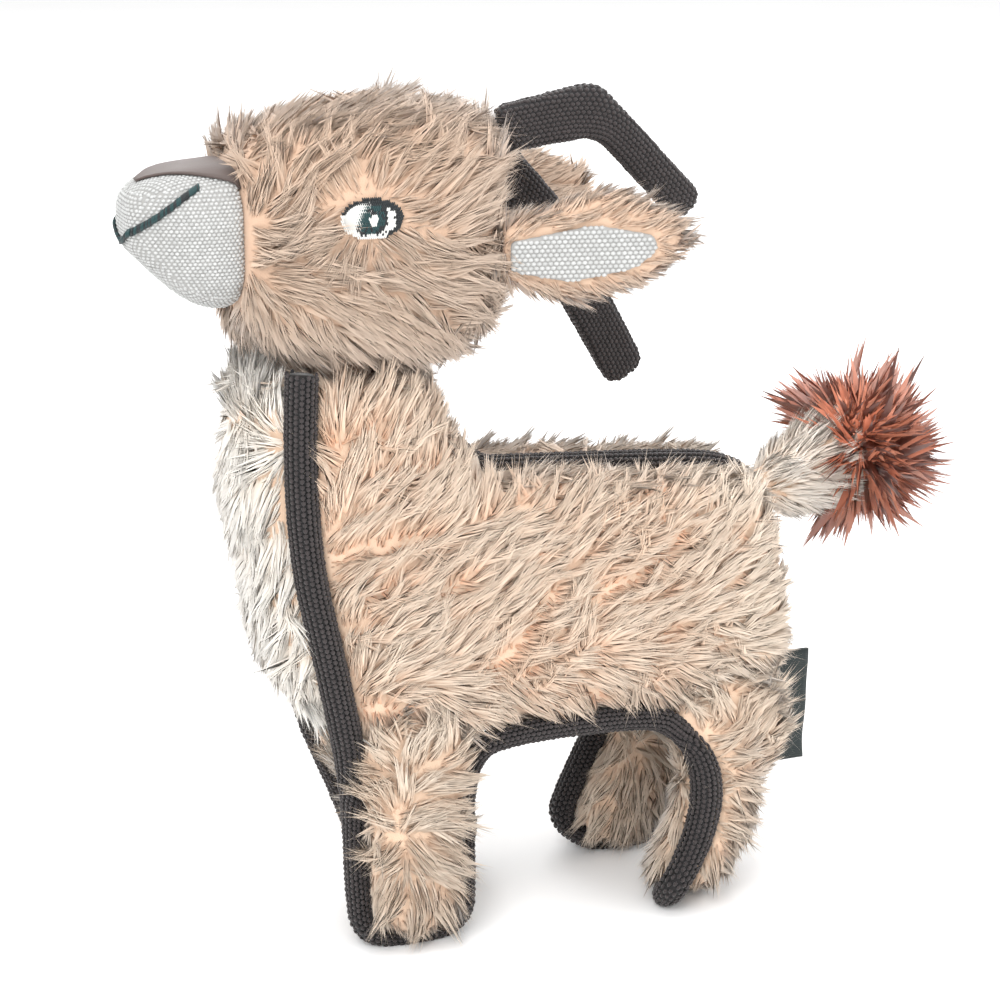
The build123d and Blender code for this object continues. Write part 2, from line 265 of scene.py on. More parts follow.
def thread_finish():
    """Embroidery thread: three colours side by side on the strand map, each stitch darkened towards its base as
    painted shade.
    """
    trim = goat().trim
    finish = Finish("thread", Roughness=0.42, Sheen_Weight=0.1)
    pale, along = finish.map_axes()
    stops = [(0.0, trim.black), (0.34, trim.teal), (0.67, tone(238, 238, 234))]
    base = finish.node("ShaderNodeValToRGB", {"ramp": stops}, {0: pale})
    base.socket.node.color_ramp.interpolation = "CONSTANT"
    # Painted shade: each stitch is darkened towards its base.
    stitch_base_shade = finish.blend(along, (0.55, 0.55, 0.55), (1.0, 1.0, 1.0))
    settings = {"data_type": "RGBA", "blend_type": "MULTIPLY"}
    shade = finish.node("ShaderNodeMix", settings, {0: 1.0, 6: base, 7: stitch_base_shade}, output=2)
    return finish.out(Base_Color=shade)


def backing_finish(name, pale, deep):
    """Knitted backing that shows between the roots of the pile."""
    finish = Finish(name, Roughness=0.95, Sheen_Weight=0.3)
    spots = finish.grain(220.0, 4.0)
    knit = finish.grain(1800.0)
    normal = finish.bump(knit, 0.4, 0.0003)
    middle = tuple(0.35 * d + 0.65 * p for d, p in zip(deep, pale))
    return finish.out(Base_Color=finish.blend(spots, middle, pale), Normal=normal)


def satin_finish(name, shade):
    """Satin: fine parallel threads and a soft gloss."""
    finish = Finish(name, Sheen_Weight=0.2, Anisotropic=0.4)
    place_of = finish.node("ShaderNodeTexCoord", output=3)
    long_threads = finish.node("ShaderNodeMapping", None, {"Vector": place_of, "Scale": (60.0, 900.0, 60.0)})
    threads = finish.node("ShaderNodeTexNoise", None, {"Vector": long_threads, "Scale": 3.0, "Detail": 3.0})
    paler = tuple(min(1.0, c * 1.5) for c in shade)
    normal = finish.bump(threads, 0.25, 0.0002)
    colour_of = finish.blend(threads, shade, paler)
    return finish.out(Base_Color=colour_of, Roughness=0.5 + 0.2 * threads, Normal=normal)


def ribbon_finish(name, shade):
    """Woven ribbon: a fine cross rib and a little wear."""
    finish = Finish(name, Sheen_Weight=0.15)
    place_of = finish.node("ShaderNodeTexCoord", output=3)
    waves = {"Vector": place_of, "Scale": 420.0, "Distortion": 0.6}
    rib = finish.node("ShaderNodeTexWave", {"bands_direction": "Z"}, waves)
    spots = finish.grain(300.0)
    paler = tuple(c * 1.7 + 0.004 for c in shade)
    normal = finish.bump(rib, 0.5, 0.0002)
    colour_of = finish.blend(spots * rib, shade, paler)
    return finish.out(Base_Color=colour_of, Roughness=0.5 + 0.2 * spots, Normal=normal)


def floor_finish():
    finish = Finish("floor", Roughness=0.7, Specular_IOR_Level=0.2)
    spots = finish.grain(9.0)
    return finish.out(Base_Color=finish.blend(spots, tone(250, 250, 250), tone(253, 253, 253)))


# ---- making meshes -----------------------------------------------------------


def show(name, mesh, material, body=None):
    """Adds a finished mesh to the scene as one piece."""
    piece = bpy.data.objects.new(name, mesh)
    bpy.context.scene.collection.objects.link(piece)
    mesh.materials.clear()
    mesh.materials.append(material)
    if body:
        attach(piece, body)
    return piece


def stuffed_mesh(nodes, voxel, rounds, swell=0.0):
    """One smooth closed mesh over the outside of some of the frame's nodes."""
    work = bmesh.new()
    for node in nodes:
        work.from_mesh(frame["nodes"][node].data)
    bmesh.ops.remove_doubles(work, verts=work.verts, dist=1e-6)
    rough = bpy.data.meshes.new("rough")
    work.to_mesh(rough)
    work.free()
    holder = bpy.data.objects.new("holder", rough)
    bpy.context.scene.collection.objects.link(holder)
    remesh = holder.modifiers.new("remesh", "REMESH")
    remesh.mode = "VOXEL"
    remesh.voxel_size = voxel
    view = bpy.context.evaluated_depsgraph_get()
    even = bpy.data.meshes.new_from_object(holder.evaluated_get(view))
    bpy.data.objects.remove(holder)
    bpy.data.meshes.remove(rough)
    work = bmesh.new()
    work.from_mesh(even)
    for _ in range(rounds):
        bmesh.ops.smooth_vert(work, verts=work.verts, factor=0.5,
                              use_axis_x=True, use_axis_y=True, use_axis_z=True)
    work.normal_update()
    for vert in work.verts:
        vert.co += vert.normal * swell
        vert.co.z = max(vert.co.z, 0.0)
    bmesh.ops.triangulate(work, faces=work.faces)
    work.to_mesh(even)
    work.free()
    for face in even.polygons:
        face.use_smooth = True
    return even


def roots_on(mesh, spacing, rng):
    """Points spread over a mesh, with the normal at each."""
    mesh.calc_loop_triangles()
    corners = np.empty(len(mesh.loop_triangles) * 3, dtype=np.int32)
    mesh.loop_triangles.foreach_get("vertices", corners)
    corners = corners.reshape(-1, 3)
    points = np.empty(len(mesh.vertices) * 3)
    mesh.vertices.foreach_get("co", points)
    points = points.reshape(-1, 3)
    normals = np.empty(len(mesh.vertices) * 3)
    mesh.vertices.foreach_get("normal", normals)
    normals = normals.reshape(-1, 3)
    a, b, c = (points[corners[:, n]] for n in range(3))
    reach = np.cumsum(np.linalg.norm(np.cross(b - a, c - a), axis=1) / 2)
    count = int(reach[-1] / spacing ** 2)
    which = np.searchsorted(reach, (np.arange(count) + rng.random(count)) / count * reach[-1])
    which = np.minimum(which, len(corners) - 1)
    u, v = rng.random(count), rng.random(count)
    over = u + v > 1
    u[over], v[over] = 1 - u[over], 1 - v[over]
    weights = np.stack([1 - u - v, u, v], axis=1)[:, :, None]
    at = (points[corners[which]] * weights).sum(axis=1)
    facing = (normals[corners[which]] * weights).sum(axis=1)
    return at, unit(facing)


def unit(rows):
    return rows / np.maximum(np.linalg.norm(rows, axis=-1, keepdims=True), 1e-9)


def swirls(points, size):
    """A wandering direction at each point; size is the width of its waves."""
    return np.stack([wander(points, size, shift) for shift in (5.0, 9.0, 13.0)], axis=1)


def wander(points, size, shift=0.0):
    """Smooth noise of about -1 to 1 at each point; size is the width of its waves."""
    return np.array([noise.noise(Vector(p) / size + Vector((shift, shift * 2, -shift))) for p in points])


def lock_meshes(rng, curved, straight, kinds, thick, spread, bend):
    """Templates of one lock, one unit long: tapered strands, long ones curved and short ones straight."""
    made = []
    strands = curved + straight
    for _ in range(kinds):
        work = bmesh.new()
        chart = work.loops.layers.uv.new("OFBake")
        for n in range(strands):
            turn = 2 * pi * (n * 0.618 + 0.3 * rng.random())
            off = Vector((cos(turn), sin(turn), 0)) * spread * (0.2 + 0.8 * rng.random())
            tall = 0.76 + 0.24 * rng.random() if n < curved else 0.5 + 0.35 * rng.random()
            before = len(work.verts)
            cone = bmesh.ops.create_cone(work, cap_ends=True, segments=3, radius1=thick, radius2=0, depth=1)
            spike = cone["verts"]
            if n < curved:
                edges = {edge for vert in spike for edge in vert.link_edges}
                sides = [edge for edge in edges if abs(edge.verts[0].co.z - edge.verts[1].co.z) > 0.5]
                bmesh.ops.subdivide_edges(work, edges=sides, cuts=1)
            work.verts.ensure_lookup_table()
            shade = rng.random() * 0.08 - 0.04
            sway = Vector((rng.normal(), rng.normal(), 0)) * 0.05
            curl = bend * (0.8 + 0.4 * rng.random())
            for vert in work.verts[before:]:
                h = vert.co.z + 0.5
                if 0.3 < h < 0.7:
                    vert.co.x *= 1.5
                    vert.co.y *= 1.5
                vert.co = vert.co + off * (1 - 0.6 * h)
                vert.co.z = tall * h * (1 - 0.25 * bend * h)
                vert.co += sway * h * h + Vector((curl * h * h, 0, 0))
                for loop in vert.link_loops:
                    loop[chart].uv = (shade, h)
        bmesh.ops.triangulate(work, faces=work.faces)
        mesh = bpy.data.meshes.new("lock")
        work.to_mesh(mesh)
        work.free()
        made.append(mesh)
    return made


def float_mesh():
    """Template of one yarn float or stitch: a low bead, with its top paler on the strand map, which the
    finishes turn into painted shade low on the bead and, on woven yarn, a painted highlight on top.
    """
    work = bmesh.new()
    chart = work.loops.layers.uv.new("OFBake")
    bmesh.ops.create_icosphere(work, subdivisions=1, radius=1)
    for vert in work.verts:
        for loop in vert.link_loops:
            loop[chart].uv = (0, min(1, max(0, 0.35 + 0.65 * vert.co.z)))
    mesh = bpy.data.meshes.new("float")
    work.to_mesh(mesh)
    work.free()
    return mesh


def scatter(templates, at, axes, pale, pick, base=None, soft=None):
    """One mesh of many copies of some templates: axes holds three directions for each, and pale its shade.

    soft is a direction for each copy that its shading leans to, as a dense pile is lit as one surface.
    """
    shapes, charts = [], []
    for template in templates:
        shape = np.empty(len(template.vertices) * 3)
        template.vertices.foreach_get("co", shape)
        shapes.append(shape.reshape(-1, 3))
        chart = np.empty(len(template.loops) * 2)
        template.uv_layers["OFBake"].data.foreach_get("uv", chart)
        charts.append(chart.reshape(-1, 2))
    work = bmesh.new()
    start = 0
    if base is not None:
        work.from_mesh(base)
        start = len(base.loops)
    if "OFBake" not in work.loops.layers.uv:
        work.loops.layers.uv.new("OFBake")
    for n, kind in enumerate(pick):
        shape = shapes[kind] @ axes[n] + at[n]
        templates[kind].vertices.foreach_set("co", shape.ravel())
        work.from_mesh(templates[kind])
    mesh = bpy.data.meshes.new("scattered")
    for vert in work.verts:
        if vert.co.z < 0:
            vert.co.z = 0
    work.to_mesh(mesh)
    work.free()
    for template, shape in zip(templates, shapes):
        template.vertices.foreach_set("co", shape.ravel())
    chart = np.empty(len(mesh.loops) * 2)
    mesh.uv_layers["OFBake"].data.foreach_get("uv", chart)
    chart = chart.reshape(-1, 2)
    sizes = np.array([len(charts[kind]) for kind in pick])
    chart[start:, 0] += np.repeat(pale, sizes)
    chart[:, 0] = np.clip(chart[:, 0], 0.01, 0.99)
    chart[:, 1] = np.clip(chart[:, 1], 0.01, 0.99)
    mesh.uv_layers["OFBake"].data.foreach_set("uv", chart.ravel())
    mesh.polygons.foreach_set("use_smooth", [True] * len(mesh.polygons))
    if soft is not None:
        own = np.empty(len(mesh.vertices) * 3)
        mesh.vertices.foreach_get("normal", own)
        corners = np.array([len(shapes[kind]) for kind in pick])
        mixed = unit(own.reshape(-1, 3) * 0.3 + np.repeat(soft, corners, axis=0))
        mesh.normals_split_custom_set_from_vertices(mixed.tolist())
    return mesh


def beads(at, axes, pale, base=None):
    """Yarn floats or stitches, each with its own shade, on a base mesh if there is one."""
    pick = np.zeros(len(at), dtype=int)
    return scatter([float_mesh()], np.array(at), np.array(axes), np.array(pale), pick, base)


def bead_axes(way, normal, size):
    """The three directions of one bead that runs along way; size is half its length, width and height in mm."""
    return [way * size[0] * MM, normal.cross(way) * size[1] * MM, normal * size[2] * MM]


def flat_chart(mesh, tint, along):
    """Gives a whole mesh one place on the strand map."""
    chart = mesh.uv_layers.new(name="OFBake")
    chart.data.foreach_set("uv", [tint, along] * len(mesh.loops))


def clumps(at, comb, long, pale, rng, size=6.5 * MM):
    """Gathers pile into tufts: the locks of each tuft lean to its middle and share their length and paleness,
    and locks near a tuft's edge are darkened as painted shade between the tufts.
    """
    count = max(2, int(len(at) * (1.9 * MM / size) ** 2))
    chosen = rng.choice(len(at), min(count, len(at)), replace=False)
    tree = KDTree(len(chosen))
    for n, index in enumerate(chosen):
        tree.insert(at[index], n)
    tree.balance()
    which = np.array([tree.find(point)[1] for point in at])
    middle = at[chosen][which]
    turn = rng.normal(0, 0.2, (len(chosen), 3))[which]
    pull = (middle - at) / size
    comb = unit(comb) + turn + pull * 0.55
    long = long * rng.uniform(0.82, 1.14, len(chosen))[which] * (1 - 0.35 * np.linalg.norm(pull, axis=1) ** 2)
    # Painted shade: locks near a tuft's edge get a darker colour, standing in for shadow between tufts.
    edge = np.clip(np.linalg.norm(pull, axis=1) * 1.6 - 0.3, 0, 1)
    pale = pale + rng.normal(0, 0.04, len(chosen))[which] - 0.1 * edge
    return comb, long, pale


def pile_mesh(at, facing, comb, long, pale, lean, locks, rng):
    """Pile at the given roots: comb is the way it lies, and lean is 0 standing up to 1 lying flat."""
    comb, long, pale = clumps(at, comb, long, pale, rng)
    along = unit(comb - (comb * facing).sum(axis=1, keepdims=True) * facing + 1e-6)
    across = np.cross(facing, along)
    lean = np.asarray(lean)[:, None]
    up = unit(facing * (1 - 0.6 * lean) + along * lean)
    axes = np.stack([along, across, up], axis=1) * np.asarray(long)[:, None, None]
    pick = rng.integers(0, len(locks), len(at))
    return scatter(locks, at, axes, pale, pick, soft=unit(facing + 0.3 * along))


def pile_of(group, rows, locks, rng):
    """The pile of those roots that are in a group; rows holds what pile_mesh takes for every root."""
    return pile_mesh(*(row[group] for row in rows), locks, rng)


# ---- routes ------------------------------------------------------------------


def smooth_route(points, step):
    """Even steps along the smooth curve that a list of corners pulls; works on positions and directions."""
    rows = np.array([list(p) for p in points], dtype=float)
    middles = (rows[:-1] + rows[1:]) / 2
    pieces = [rows[:1]]
    t = np.linspace(0, 1, 24)[:, None]
    for n in range(1, len(rows) - 1):
        first = rows[0] if n == 1 else middles[n - 1]
        last = rows[-1] if n == len(rows) - 2 else middles[n]
        pieces.append((1 - t) ** 2 * first + 2 * t * (1 - t) * rows[n] + t ** 2 * last)
    if len(rows) == 2:
        pieces.append(rows[1:])
    line = np.concatenate(pieces)
    gone = np.concatenate([[0], np.cumsum(np.linalg.norm(np.diff(line[:, :3], axis=0), axis=1))])
    wanted = np.arange(0, gone[-1], step)
    return np.stack([np.interp(wanted, gone, line[:, k]) for k in range(line.shape[1])], axis=1)


def tube_mesh(route, radius):
    """A closed round tube along a route."""
    line = bpy.data.curves.new("line", "CURVE")
    line.dimensions = "3D"
    line.bevel_depth = radius
    line.bevel_resolution = 3
    line.use_fill_caps = True
    spline = line.splines.new("POLY")
    spline.points.add(len(route) - 1)
    for point, row in zip(spline.points, route):
        point.co = (*row[:3], 1)
    holder = bpy.data.objects.new("holder", line)
    mesh = bpy.data.meshes.new_from_object(holder)
    bpy.data.objects.remove(holder)
    work = bmesh.new()
    work.from_mesh(mesh)
    bmesh.ops.remove_doubles(work, verts=work.verts, dist=1e-7)
    # The core sits low on the strand map, so it shows the painted shade between the floats.
    chart = work.loops.layers.uv.new("OFBake")
    for face in work.faces:
        for loop in face.loops:
            loop[chart].uv = (0.2, 0.02)
    work.to_mesh(mesh)
    work.free()
    while len(mesh.uv_layers) > 1:
        mesh.uv_layers.remove(next(layer for layer in mesh.uv_layers if layer.name != "OFBake"))
    return mesh


def binding_mesh(corners, radius, rng, wrap=115.0, wide=1.0, rise=0.0):
    """A webbing binding: corners are (point, way its round face looks), and floats cover that face."""
    weave = goat().weave
    route = smooth_route([(*point, *outward) for point, outward in corners], weave.pitch)
    route[:, :3] += unit(route[:, 3:]) * rise
    ahead = unit(np.gradient(route[:, :3], axis=0))
    outward = route[:, 3:] - (route[:, 3:] * ahead).sum(axis=1, keepdims=True) * ahead
    outward = unit(outward)
    across = np.cross(ahead, outward)
    rows = int(radians(wrap) * 2 * radius / weave.row)
    at, axes = [], []
    for n in range(rows + 1):
        turn = radians(-wrap + 2 * wrap * n / rows)
        look = outward * cos(turn) + across * sin(turn)
        shift = ahead * (weave.pitch / 2 if n % 2 else 0)
        at.append(route[:, :3] + radius * (outward * cos(turn) + across * sin(turn) * wide) + shift)
        side = np.cross(look, ahead)
        axes.append(np.stack([ahead * weave.pitch * 0.56, side * weave.row * 0.56, look * 0.0006], axis=1))
    at, axes = np.concatenate(at), np.concatenate(axes)
    at = at + rng.normal(0, 0.00006, at.shape)
    core = tube_mesh(route, radius * 0.97)
    return beads(at, axes, rng.random(len(at)), core)


# ---- seams and legs ----------------------------------------------------------
CHEST_SEAM = ((-70, 210), (-73, 160), (-60, 98))
SPINE_SEAM = ((-26, 201), (-9, 163), (20, 161), (60, 158.5), (98, 155), (104, 147))
SEAM_Y = 28.0
BELLY_Z = 76.5
HIP_Z = 66.0
SHANK = 17.0  # half a leg's width
LEG_ROPE = 4.5
SOLE_FLAT = 1.2
NECK_X = -52.0
ROPE_START = 14.0  # how far below the hip a leg's binding is all leg
# How far each leg leans forward, splays and toes out, in degrees, and how far it bows backwards, in mm.
LEG_TURNS = {
    "left_front": (0, 5, 0, 0),
    "right_front": (-20, 4, 0, 0),
    "left_rear": (18, 5, 55, 9),
    "right_rear": (24, 4, 0, 0),
}


def side_of(name):
    return -1 if name.startswith("left") else 1


def hip_of(leg):
    """The point that a leg turns about, in the body's millimetres."""
    x, y, z = JOINTS[f"{leg}_leg_swing"]["pos_m"]
    return Vector((x / MM - MOVED_X, y / MM, z / MM))


def leg_ways(leg):
    """A leg's toe direction, its up direction and the distance from its hip to the middle of its foot."""
    lean, splay, toe_out, _ = LEG_TURNS[leg]
    side = side_of(leg)
    toe = Vector((-cos(radians(toe_out)), side * sin(radians(toe_out)), 0))
    rise = cos(radians(lean)) * cos(radians(splay))
    up = Vector((sin(radians(lean)), -side * sin(radians(splay)), rise)).normalized()
    toe = (toe - up * toe.dot(up)).normalized()
    return toe, up, (HIP_Z - SHANK - LEG_ROPE + SOLE_FLAT) / up.z


def bow(rows, leg):
    """Bends points of a leg backwards between the hip and the floor; changes the array in place."""
    much = LEG_TURNS[leg][3] * MM
    rows[:, 0] += much * np.sin(pi * np.clip(rows[:, 2] / (HIP_Z * MM), 0, 1))
    return rows


def bow_mesh(mesh, leg):
    points = np.empty(len(mesh.vertices) * 3)
    mesh.vertices.foreach_get("co", points)
    mesh.vertices.foreach_set("co", bow(points.reshape(-1, 3), leg).ravel())
    mesh.update()


def leg_loop(leg):
    """Corners of the binding round a leg, from its front edge to its back edge, with the way each faces."""
    toe, up, long = leg_ways(leg)
    hip = hip_of(leg)
    turns = [(1, -ROPE_START, 1, 0), (1, -long, 1, 0), (0.93, -long - 0.95 * SHANK, 0.7, -0.7)]
    turns += [(-u, v, -a, b) for u, v, a, b in reversed(turns)]
    return [(place(*(hip + toe * u * SHANK + up * v)), toe * a + up * b) for u, v, a, b in turns]


def seam_corners():
    """Every binding: its corners and the leg that it runs round."""
    made = {}
    for side_name, side in (("left", -1), ("right", 1)):
        y = side * SEAM_Y
        out = Vector((-0.6, side * 0.8, 0))
        down = Vector((0, side * 0.45, -0.9))
        chest = [(place(x, y, z), out) for x, z in CHEST_SEAM] + [(place(-54, y * 0.9, 68), out)]
        to_belly = [(place(-12, y * 0.92, 70), down), (place(0, y, BELLY_Z), down)]
        to_belly.append((place(25, y, BELLY_Z), down))
        front = chest + leg_loop(f"{side_name}_front") + to_belly
        made[f"{side_name}_front_binding"] = (front, f"{side_name}_front")
        from_belly = [(place(25, y, BELLY_Z), down), (place(54, y, BELLY_Z), down), (place(66, y, 70), down)]
        rear = leg_loop(f"{side_name}_rear")
        end_point, end_out = rear[-1]
        above = (end_point + Vector((0.002, 0, 0.014)), end_out)
        made[f"{side_name}_rear_binding"] = (from_belly + rear + [above], f"{side_name}_rear")
    return made


def own_mm(at):
    """Points of the frame in the body's own millimetres."""
    return at / MM - np.array([MOVED_X, 0, 0])


def distance_to(at, routes):
    """How far each point is from the nearest of some routes."""
    rows = np.concatenate([route[:, :3] for route in routes])
    tree = KDTree(len(rows))
    for n, row in enumerate(rows):
        tree.insert(row, n)
    tree.balance()
    return np.array([tree.find(point)[2] for point in at])


def outside(at, tree, margin):
    """True where a point isn't inside a closed mesh."""
    keep = np.ones(len(at), dtype=bool)
    for n, point in enumerate(at):
        spot, normal, _, far = tree.find_nearest(Vector(point))
        if (Vector(point) - spot).dot(normal) < margin:
            keep[n] = False
    return keep


def tree_of(mesh):
    mesh.calc_loop_triangles()
    return BVHTree.FromPolygons([v.co for v in mesh.vertices], [t.vertices for t in mesh.loop_triangles])


def furrows(at):
    """The parted pile of the flanks: how deep each point's parting is, and which way its strands fall."""
    p = own_mm(at)
    rear = np.clip((p[:, 0] + 35) / 45, 0, 1) * np.clip((172 - p[:, 2]) / 30, 0, 1)
    slope = np.radians(4 + 30 * rear)
    across = np.stack([-np.sin(slope), np.zeros(len(p)), np.cos(slope)], axis=1)
    level = (p * across).sum(axis=1) + 5.5 * wander(p, 34.0) + 2.0 * wander(p, 11.0, 3.0)
    cell = level / 13.5
    off = cell - np.round(cell)
    broken = np.clip(0.35 + 1.9 * wander(p + np.round(cell)[:, None] * 37.0, 21.0, 1.0), 0, 1)
    valley = np.exp(-((off / 0.19) ** 2)) * broken
    return valley, across * np.sign(off)[:, None]


# ---- operators ---------------------------------------------------------------
shared = {}  # forms that later pieces are set on


def routes():
    if "routes" not in shared:
        shared["routes"] = {}
        for name, (corners, leg) in seam_corners().items():
            route = smooth_route([(*point, *outward) for point, outward in corners], 3 * MM)
            shared["routes"][name] = bow(route, leg)
        spine = [(*place(x, 0, z), 0, 0, 1) for x, z in SPINE_SEAM]
        shared["routes"]["back_binding"] = smooth_route(spine, 3 * MM)
    return shared["routes"]


def rng_for(number):
    return np.random.default_rng(goat().seed * 100 + number)


class GOAT_OT_body(bpy.types.Operator):
    """Stuffs the body and covers it with pile, one piece for each fur panel"""

    bl_idname = "goat.body"
    bl_label = "Body"

    def execute(self, context):
        fur = goat().fur
        rng = rng_for(1)
        panels = ("left_side_panel", "right_side_panel", "chest_panel", "belly_panel")
        form = stuffed_mesh([*panels, "body_filling"], 4 * MM, 8, 0.6 * MM)
        shared["body"] = tree_of(form)
        backing = backing_finish("backing", fur.middle, fur.root)
        stuffed = show("stuffed_body", form, backing, "torso")
        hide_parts("body_filling")
        at, facing = roots_on(form, fur.spacing, rng)
        p = own_mm(at)
        beside = distance_to(at, routes().values()) / MM
        keep = beside > 4.8
        for leg in LEGS:
            hip = hip_of(leg)
            from_hip = np.hypot(p[:, 0] - hip.x, p[:, 2] - hip.z)
            keep &= ~((from_hip < 17) & (np.abs(p[:, 1] - hip.y) < 13.2))
        keep &= ~((p[:, 2] > 199) & (facing[:, 2] > 0.7) & (np.hypot(p[:, 0] - NECK_X, p[:, 1]) < 22))
        at, facing, p, beside = at[keep], facing[keep], p[keep], beside[keep]
        seam_x = np.interp(p[:, 2], [76, 98, 160, 201], [-54, -60, -73, -71])
        chest = p[:, 0] < seam_x
        belly = ~chest & (p[:, 2] < 84) & (np.abs(p[:, 1]) < 23)
        side = ~chest & ~belly
        # The flanks are combed back and up, the neck up, and the front edges forwards over the bindings.
        valley, fall = furrows(at)
        neck = np.clip((p[:, 2] - 150) / 30, 0, 1)[:, None]
        comb = np.array([0.75, 0, 0.62]) * (1 - neck) + np.array([0.25, 0, 0.9]) * neck
        low = np.clip((112 - p[:, 2]) / 34, 0, 1)[:, None]
        comb = comb * (1 - low) + np.array([0.25, 0, -0.75]) * low
        front = np.clip((seam_x + 16 - p[:, 0]) / 16, 0, 1)[:, None]
        comb = comb + front * np.array([-1.3, 0, 0.15])
        swirl = swirls(p, 17.0)
        comb = comb + swirl * 0.6 + fall * valley[:, None] * 2.4
        long = fur.pile * (1.0 - 0.55 * valley) * rng.uniform(0.8, 1.12, len(p))
        long *= 1 + 0.22 * wander(p, 7.0, 2.0)
        patches = 0.16 * wander(p, 9.0, 4.0) + 0.14 * wander(p, 40.0, 8.0)
        pale = 0.66 - 1.0 * valley + patches + rng.normal(0, 0.03, len(p))
        long *= np.clip(beside / 10, 0.55, 1)
        rump = np.clip((p[:, 0] - 92) / 12, 0, 1)
        long *= 1 - 0.35 * rump
        pale += 0.4 * np.clip((p[:, 0] - 60) / 30, 0, 1)
        lean = np.clip(0.74 - 0.2 * valley + 0.12 * rump + rng.normal(0, 0.06, len(p)), 0.2, 0.92)
        # The chest hangs in rows of puffs.
        row = np.sin(2 * pi * (p[:, 2] + 3 * wander(p, 25.0, 6.0)) / 15.0)
        up = np.clip((p[:, 2] - 178) / 20, 0, 1)[:, None]
        hang = np.array([-0.25, 0, -0.8]) * (1 - up) + np.array([-0.2, 0, 0.9]) * up
        comb[chest] = hang[chest] + swirl[chest] * 0.7
        pale[chest] = (0.68 + 0.2 * row + 0.14 * wander(p, 8.0, 7.0) + rng.normal(0, 0.03, len(p)))[chest]
        long[chest] *= (1.0 + 0.22 * row)[chest]
        comb[belly] = np.array([0.3, 0, -0.2]) + swirl[belly]
        long[belly] *= 0.75
        comb[:, 1] += np.sign(p[:, 1]) * 0.1
        locks = lock_meshes(rng, 2, 6, 8, 0.021, 0.19, 0.45)
        sandy = strand_finish("sand_fur", fur.root, fur.middle, fur.tip)
        cream = strand_finish("chest_fur", tone(242, 220, 198), tone(252, 242, 228), fur.chest)
        jobs = (("left_side_fur", side & (p[:, 1] < 0), "left_side_panel", sandy, "fur"),
                ("right_side_fur", side & (p[:, 1] >= 0), "right_side_panel", sandy, "fur"),
                ("chest_fur", chest, "chest_panel", cream, "chest_fur"),
                ("belly_fur", belly, "belly_panel", cream, "fur"))
        for name, group, panel, finish, slot in jobs:
            mesh = pile_of(group, (at, facing, comb, long, pale, lean), locks, rng)
            piece = show(name, mesh, finish, "torso")
            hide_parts(panel)
        return {"FINISHED"}


class GOAT_OT_legs(bpy.types.Operator):
    """Stuffs the legs and covers them with pile"""

    bl_idname = "goat.legs"
    bl_label = "Legs"

    def execute(self, context):
        fur = goat().fur
        rng = rng_for(2)
        locks = lock_meshes(rng, 2, 6, 8, 0.024, 0.17, 0.4)
        backing = backing_finish("leg_backing", fur.middle, fur.root)
        sandy = strand_finish("leg_fur", tone(206, 164, 134), tone(216, 196, 174), tone(234, 220, 204))
        for leg in LEGS:
            names = [f"{leg}_leg_{part}" for part in ("outer_panel", "inner_panel", "filling")]
            form = stuffed_mesh(names, 3 * MM, 5, 0.3 * MM)
            bow_mesh(form, leg)
            stuffed = show(f"{leg}_leg_stuffed", form, backing, f"{leg}_leg")
            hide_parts(names[2])
            at, facing = roots_on(form, fur.spacing, rng)
            beside = distance_to(at, routes().values()) / MM
            keep = (at[:, 2] < 85 * MM) & outside(at, shared["body"], -0.6 * MM) & (beside > 5.2)
            at, facing, beside = at[keep], facing[keep], beside[keep]
            p = own_mm(at)
            toe, up, long_leg = leg_ways(leg)
            hip = hip_of(leg)
            middle = np.array(hip) - np.array(up) * (p[:, 2:3] * 0 + long_leg * 0.55)
            away = unit(p - middle)
            swirl = swirls(p, 15.0)
            row = np.sin(2 * pi * (p[:, 2] + 4 * wander(p, 18.0, 6.0)) / 14.0)
            low = np.clip((22 - p[:, 2]) / 14, 0, 1)
            comb = away * 0.8 + np.array([0.1, 0, -0.35]) + swirl * 0.8
            long = fur.pile * rng.uniform(0.78, 1.08, len(p)) * (0.92 + 0.14 * row)
            long *= (1 - 0.28 * low) * np.clip(beside / 10, 0.6, 1)
            pale = 0.5 + 0.2 * row + 0.16 * wander(p, 8.0, 4.0) + rng.normal(0, 0.03, len(p))
            lean = np.clip(0.64 + rng.normal(0, 0.07, len(p)), 0.2, 0.9)
            across = np.array(toe.cross(up))
            outer = ((p - np.array(hip)) @ across) * (-side_of(leg)) < 0
            for part, group in (("outer", outer), ("inner", ~outer)):
                mesh = pile_of(group, (at, facing, comb, long, pale, lean), locks, rng)
                piece = show(f"{leg}_leg_{part}_fur", mesh, sandy, f"{leg}_leg")
                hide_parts(f"{leg}_leg_{part}_panel")
        return {"FINISHED"}


class GOAT_OT_bindings(bpy.types.Operator):
    """Lays the woven webbing over the seams of the body and the legs"""

    bl_idname = "goat.bindings"
    bl_label = "Bindings"

    def execute(self, context):
        weave = goat().weave
        rng = rng_for(3)
        webbing = float_finish("webbing", weave.deep, weave.dark, 0.62)
        level, neck = Vector((0, 0, 1)), Vector((0.9, 0, 0.4))
        spine = [(place(x, 0, z), level if x > 0 else neck) for x, z in SPINE_SEAM]
        mesh = binding_mesh(spine, 3.8 * MM, rng, 100.0, 1.7, 0.8 * MM)
        piece = show("back_webbing", mesh, webbing, "torso")
        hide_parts("back_binding")
        for name, (corners, leg) in seam_corners().items():
            mesh = binding_mesh(corners, weave.binding, rng, 125.0, 1.25, 2.4 * MM)
            bow_mesh(mesh, leg)
            piece = show(name, mesh, webbing, None)
            start, end = place(0, 0, 77), place(0, 0, 54)
            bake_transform(piece)
            side_name = leg.split("_")[0]
            nodes = [f"{leg}_leg_binding"]
            if leg.endswith("front"):
                nodes += [f"{side_name}_chest_binding", f"{side_name}_belly_binding"]
            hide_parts(*nodes)
        return {"FINISHED"}


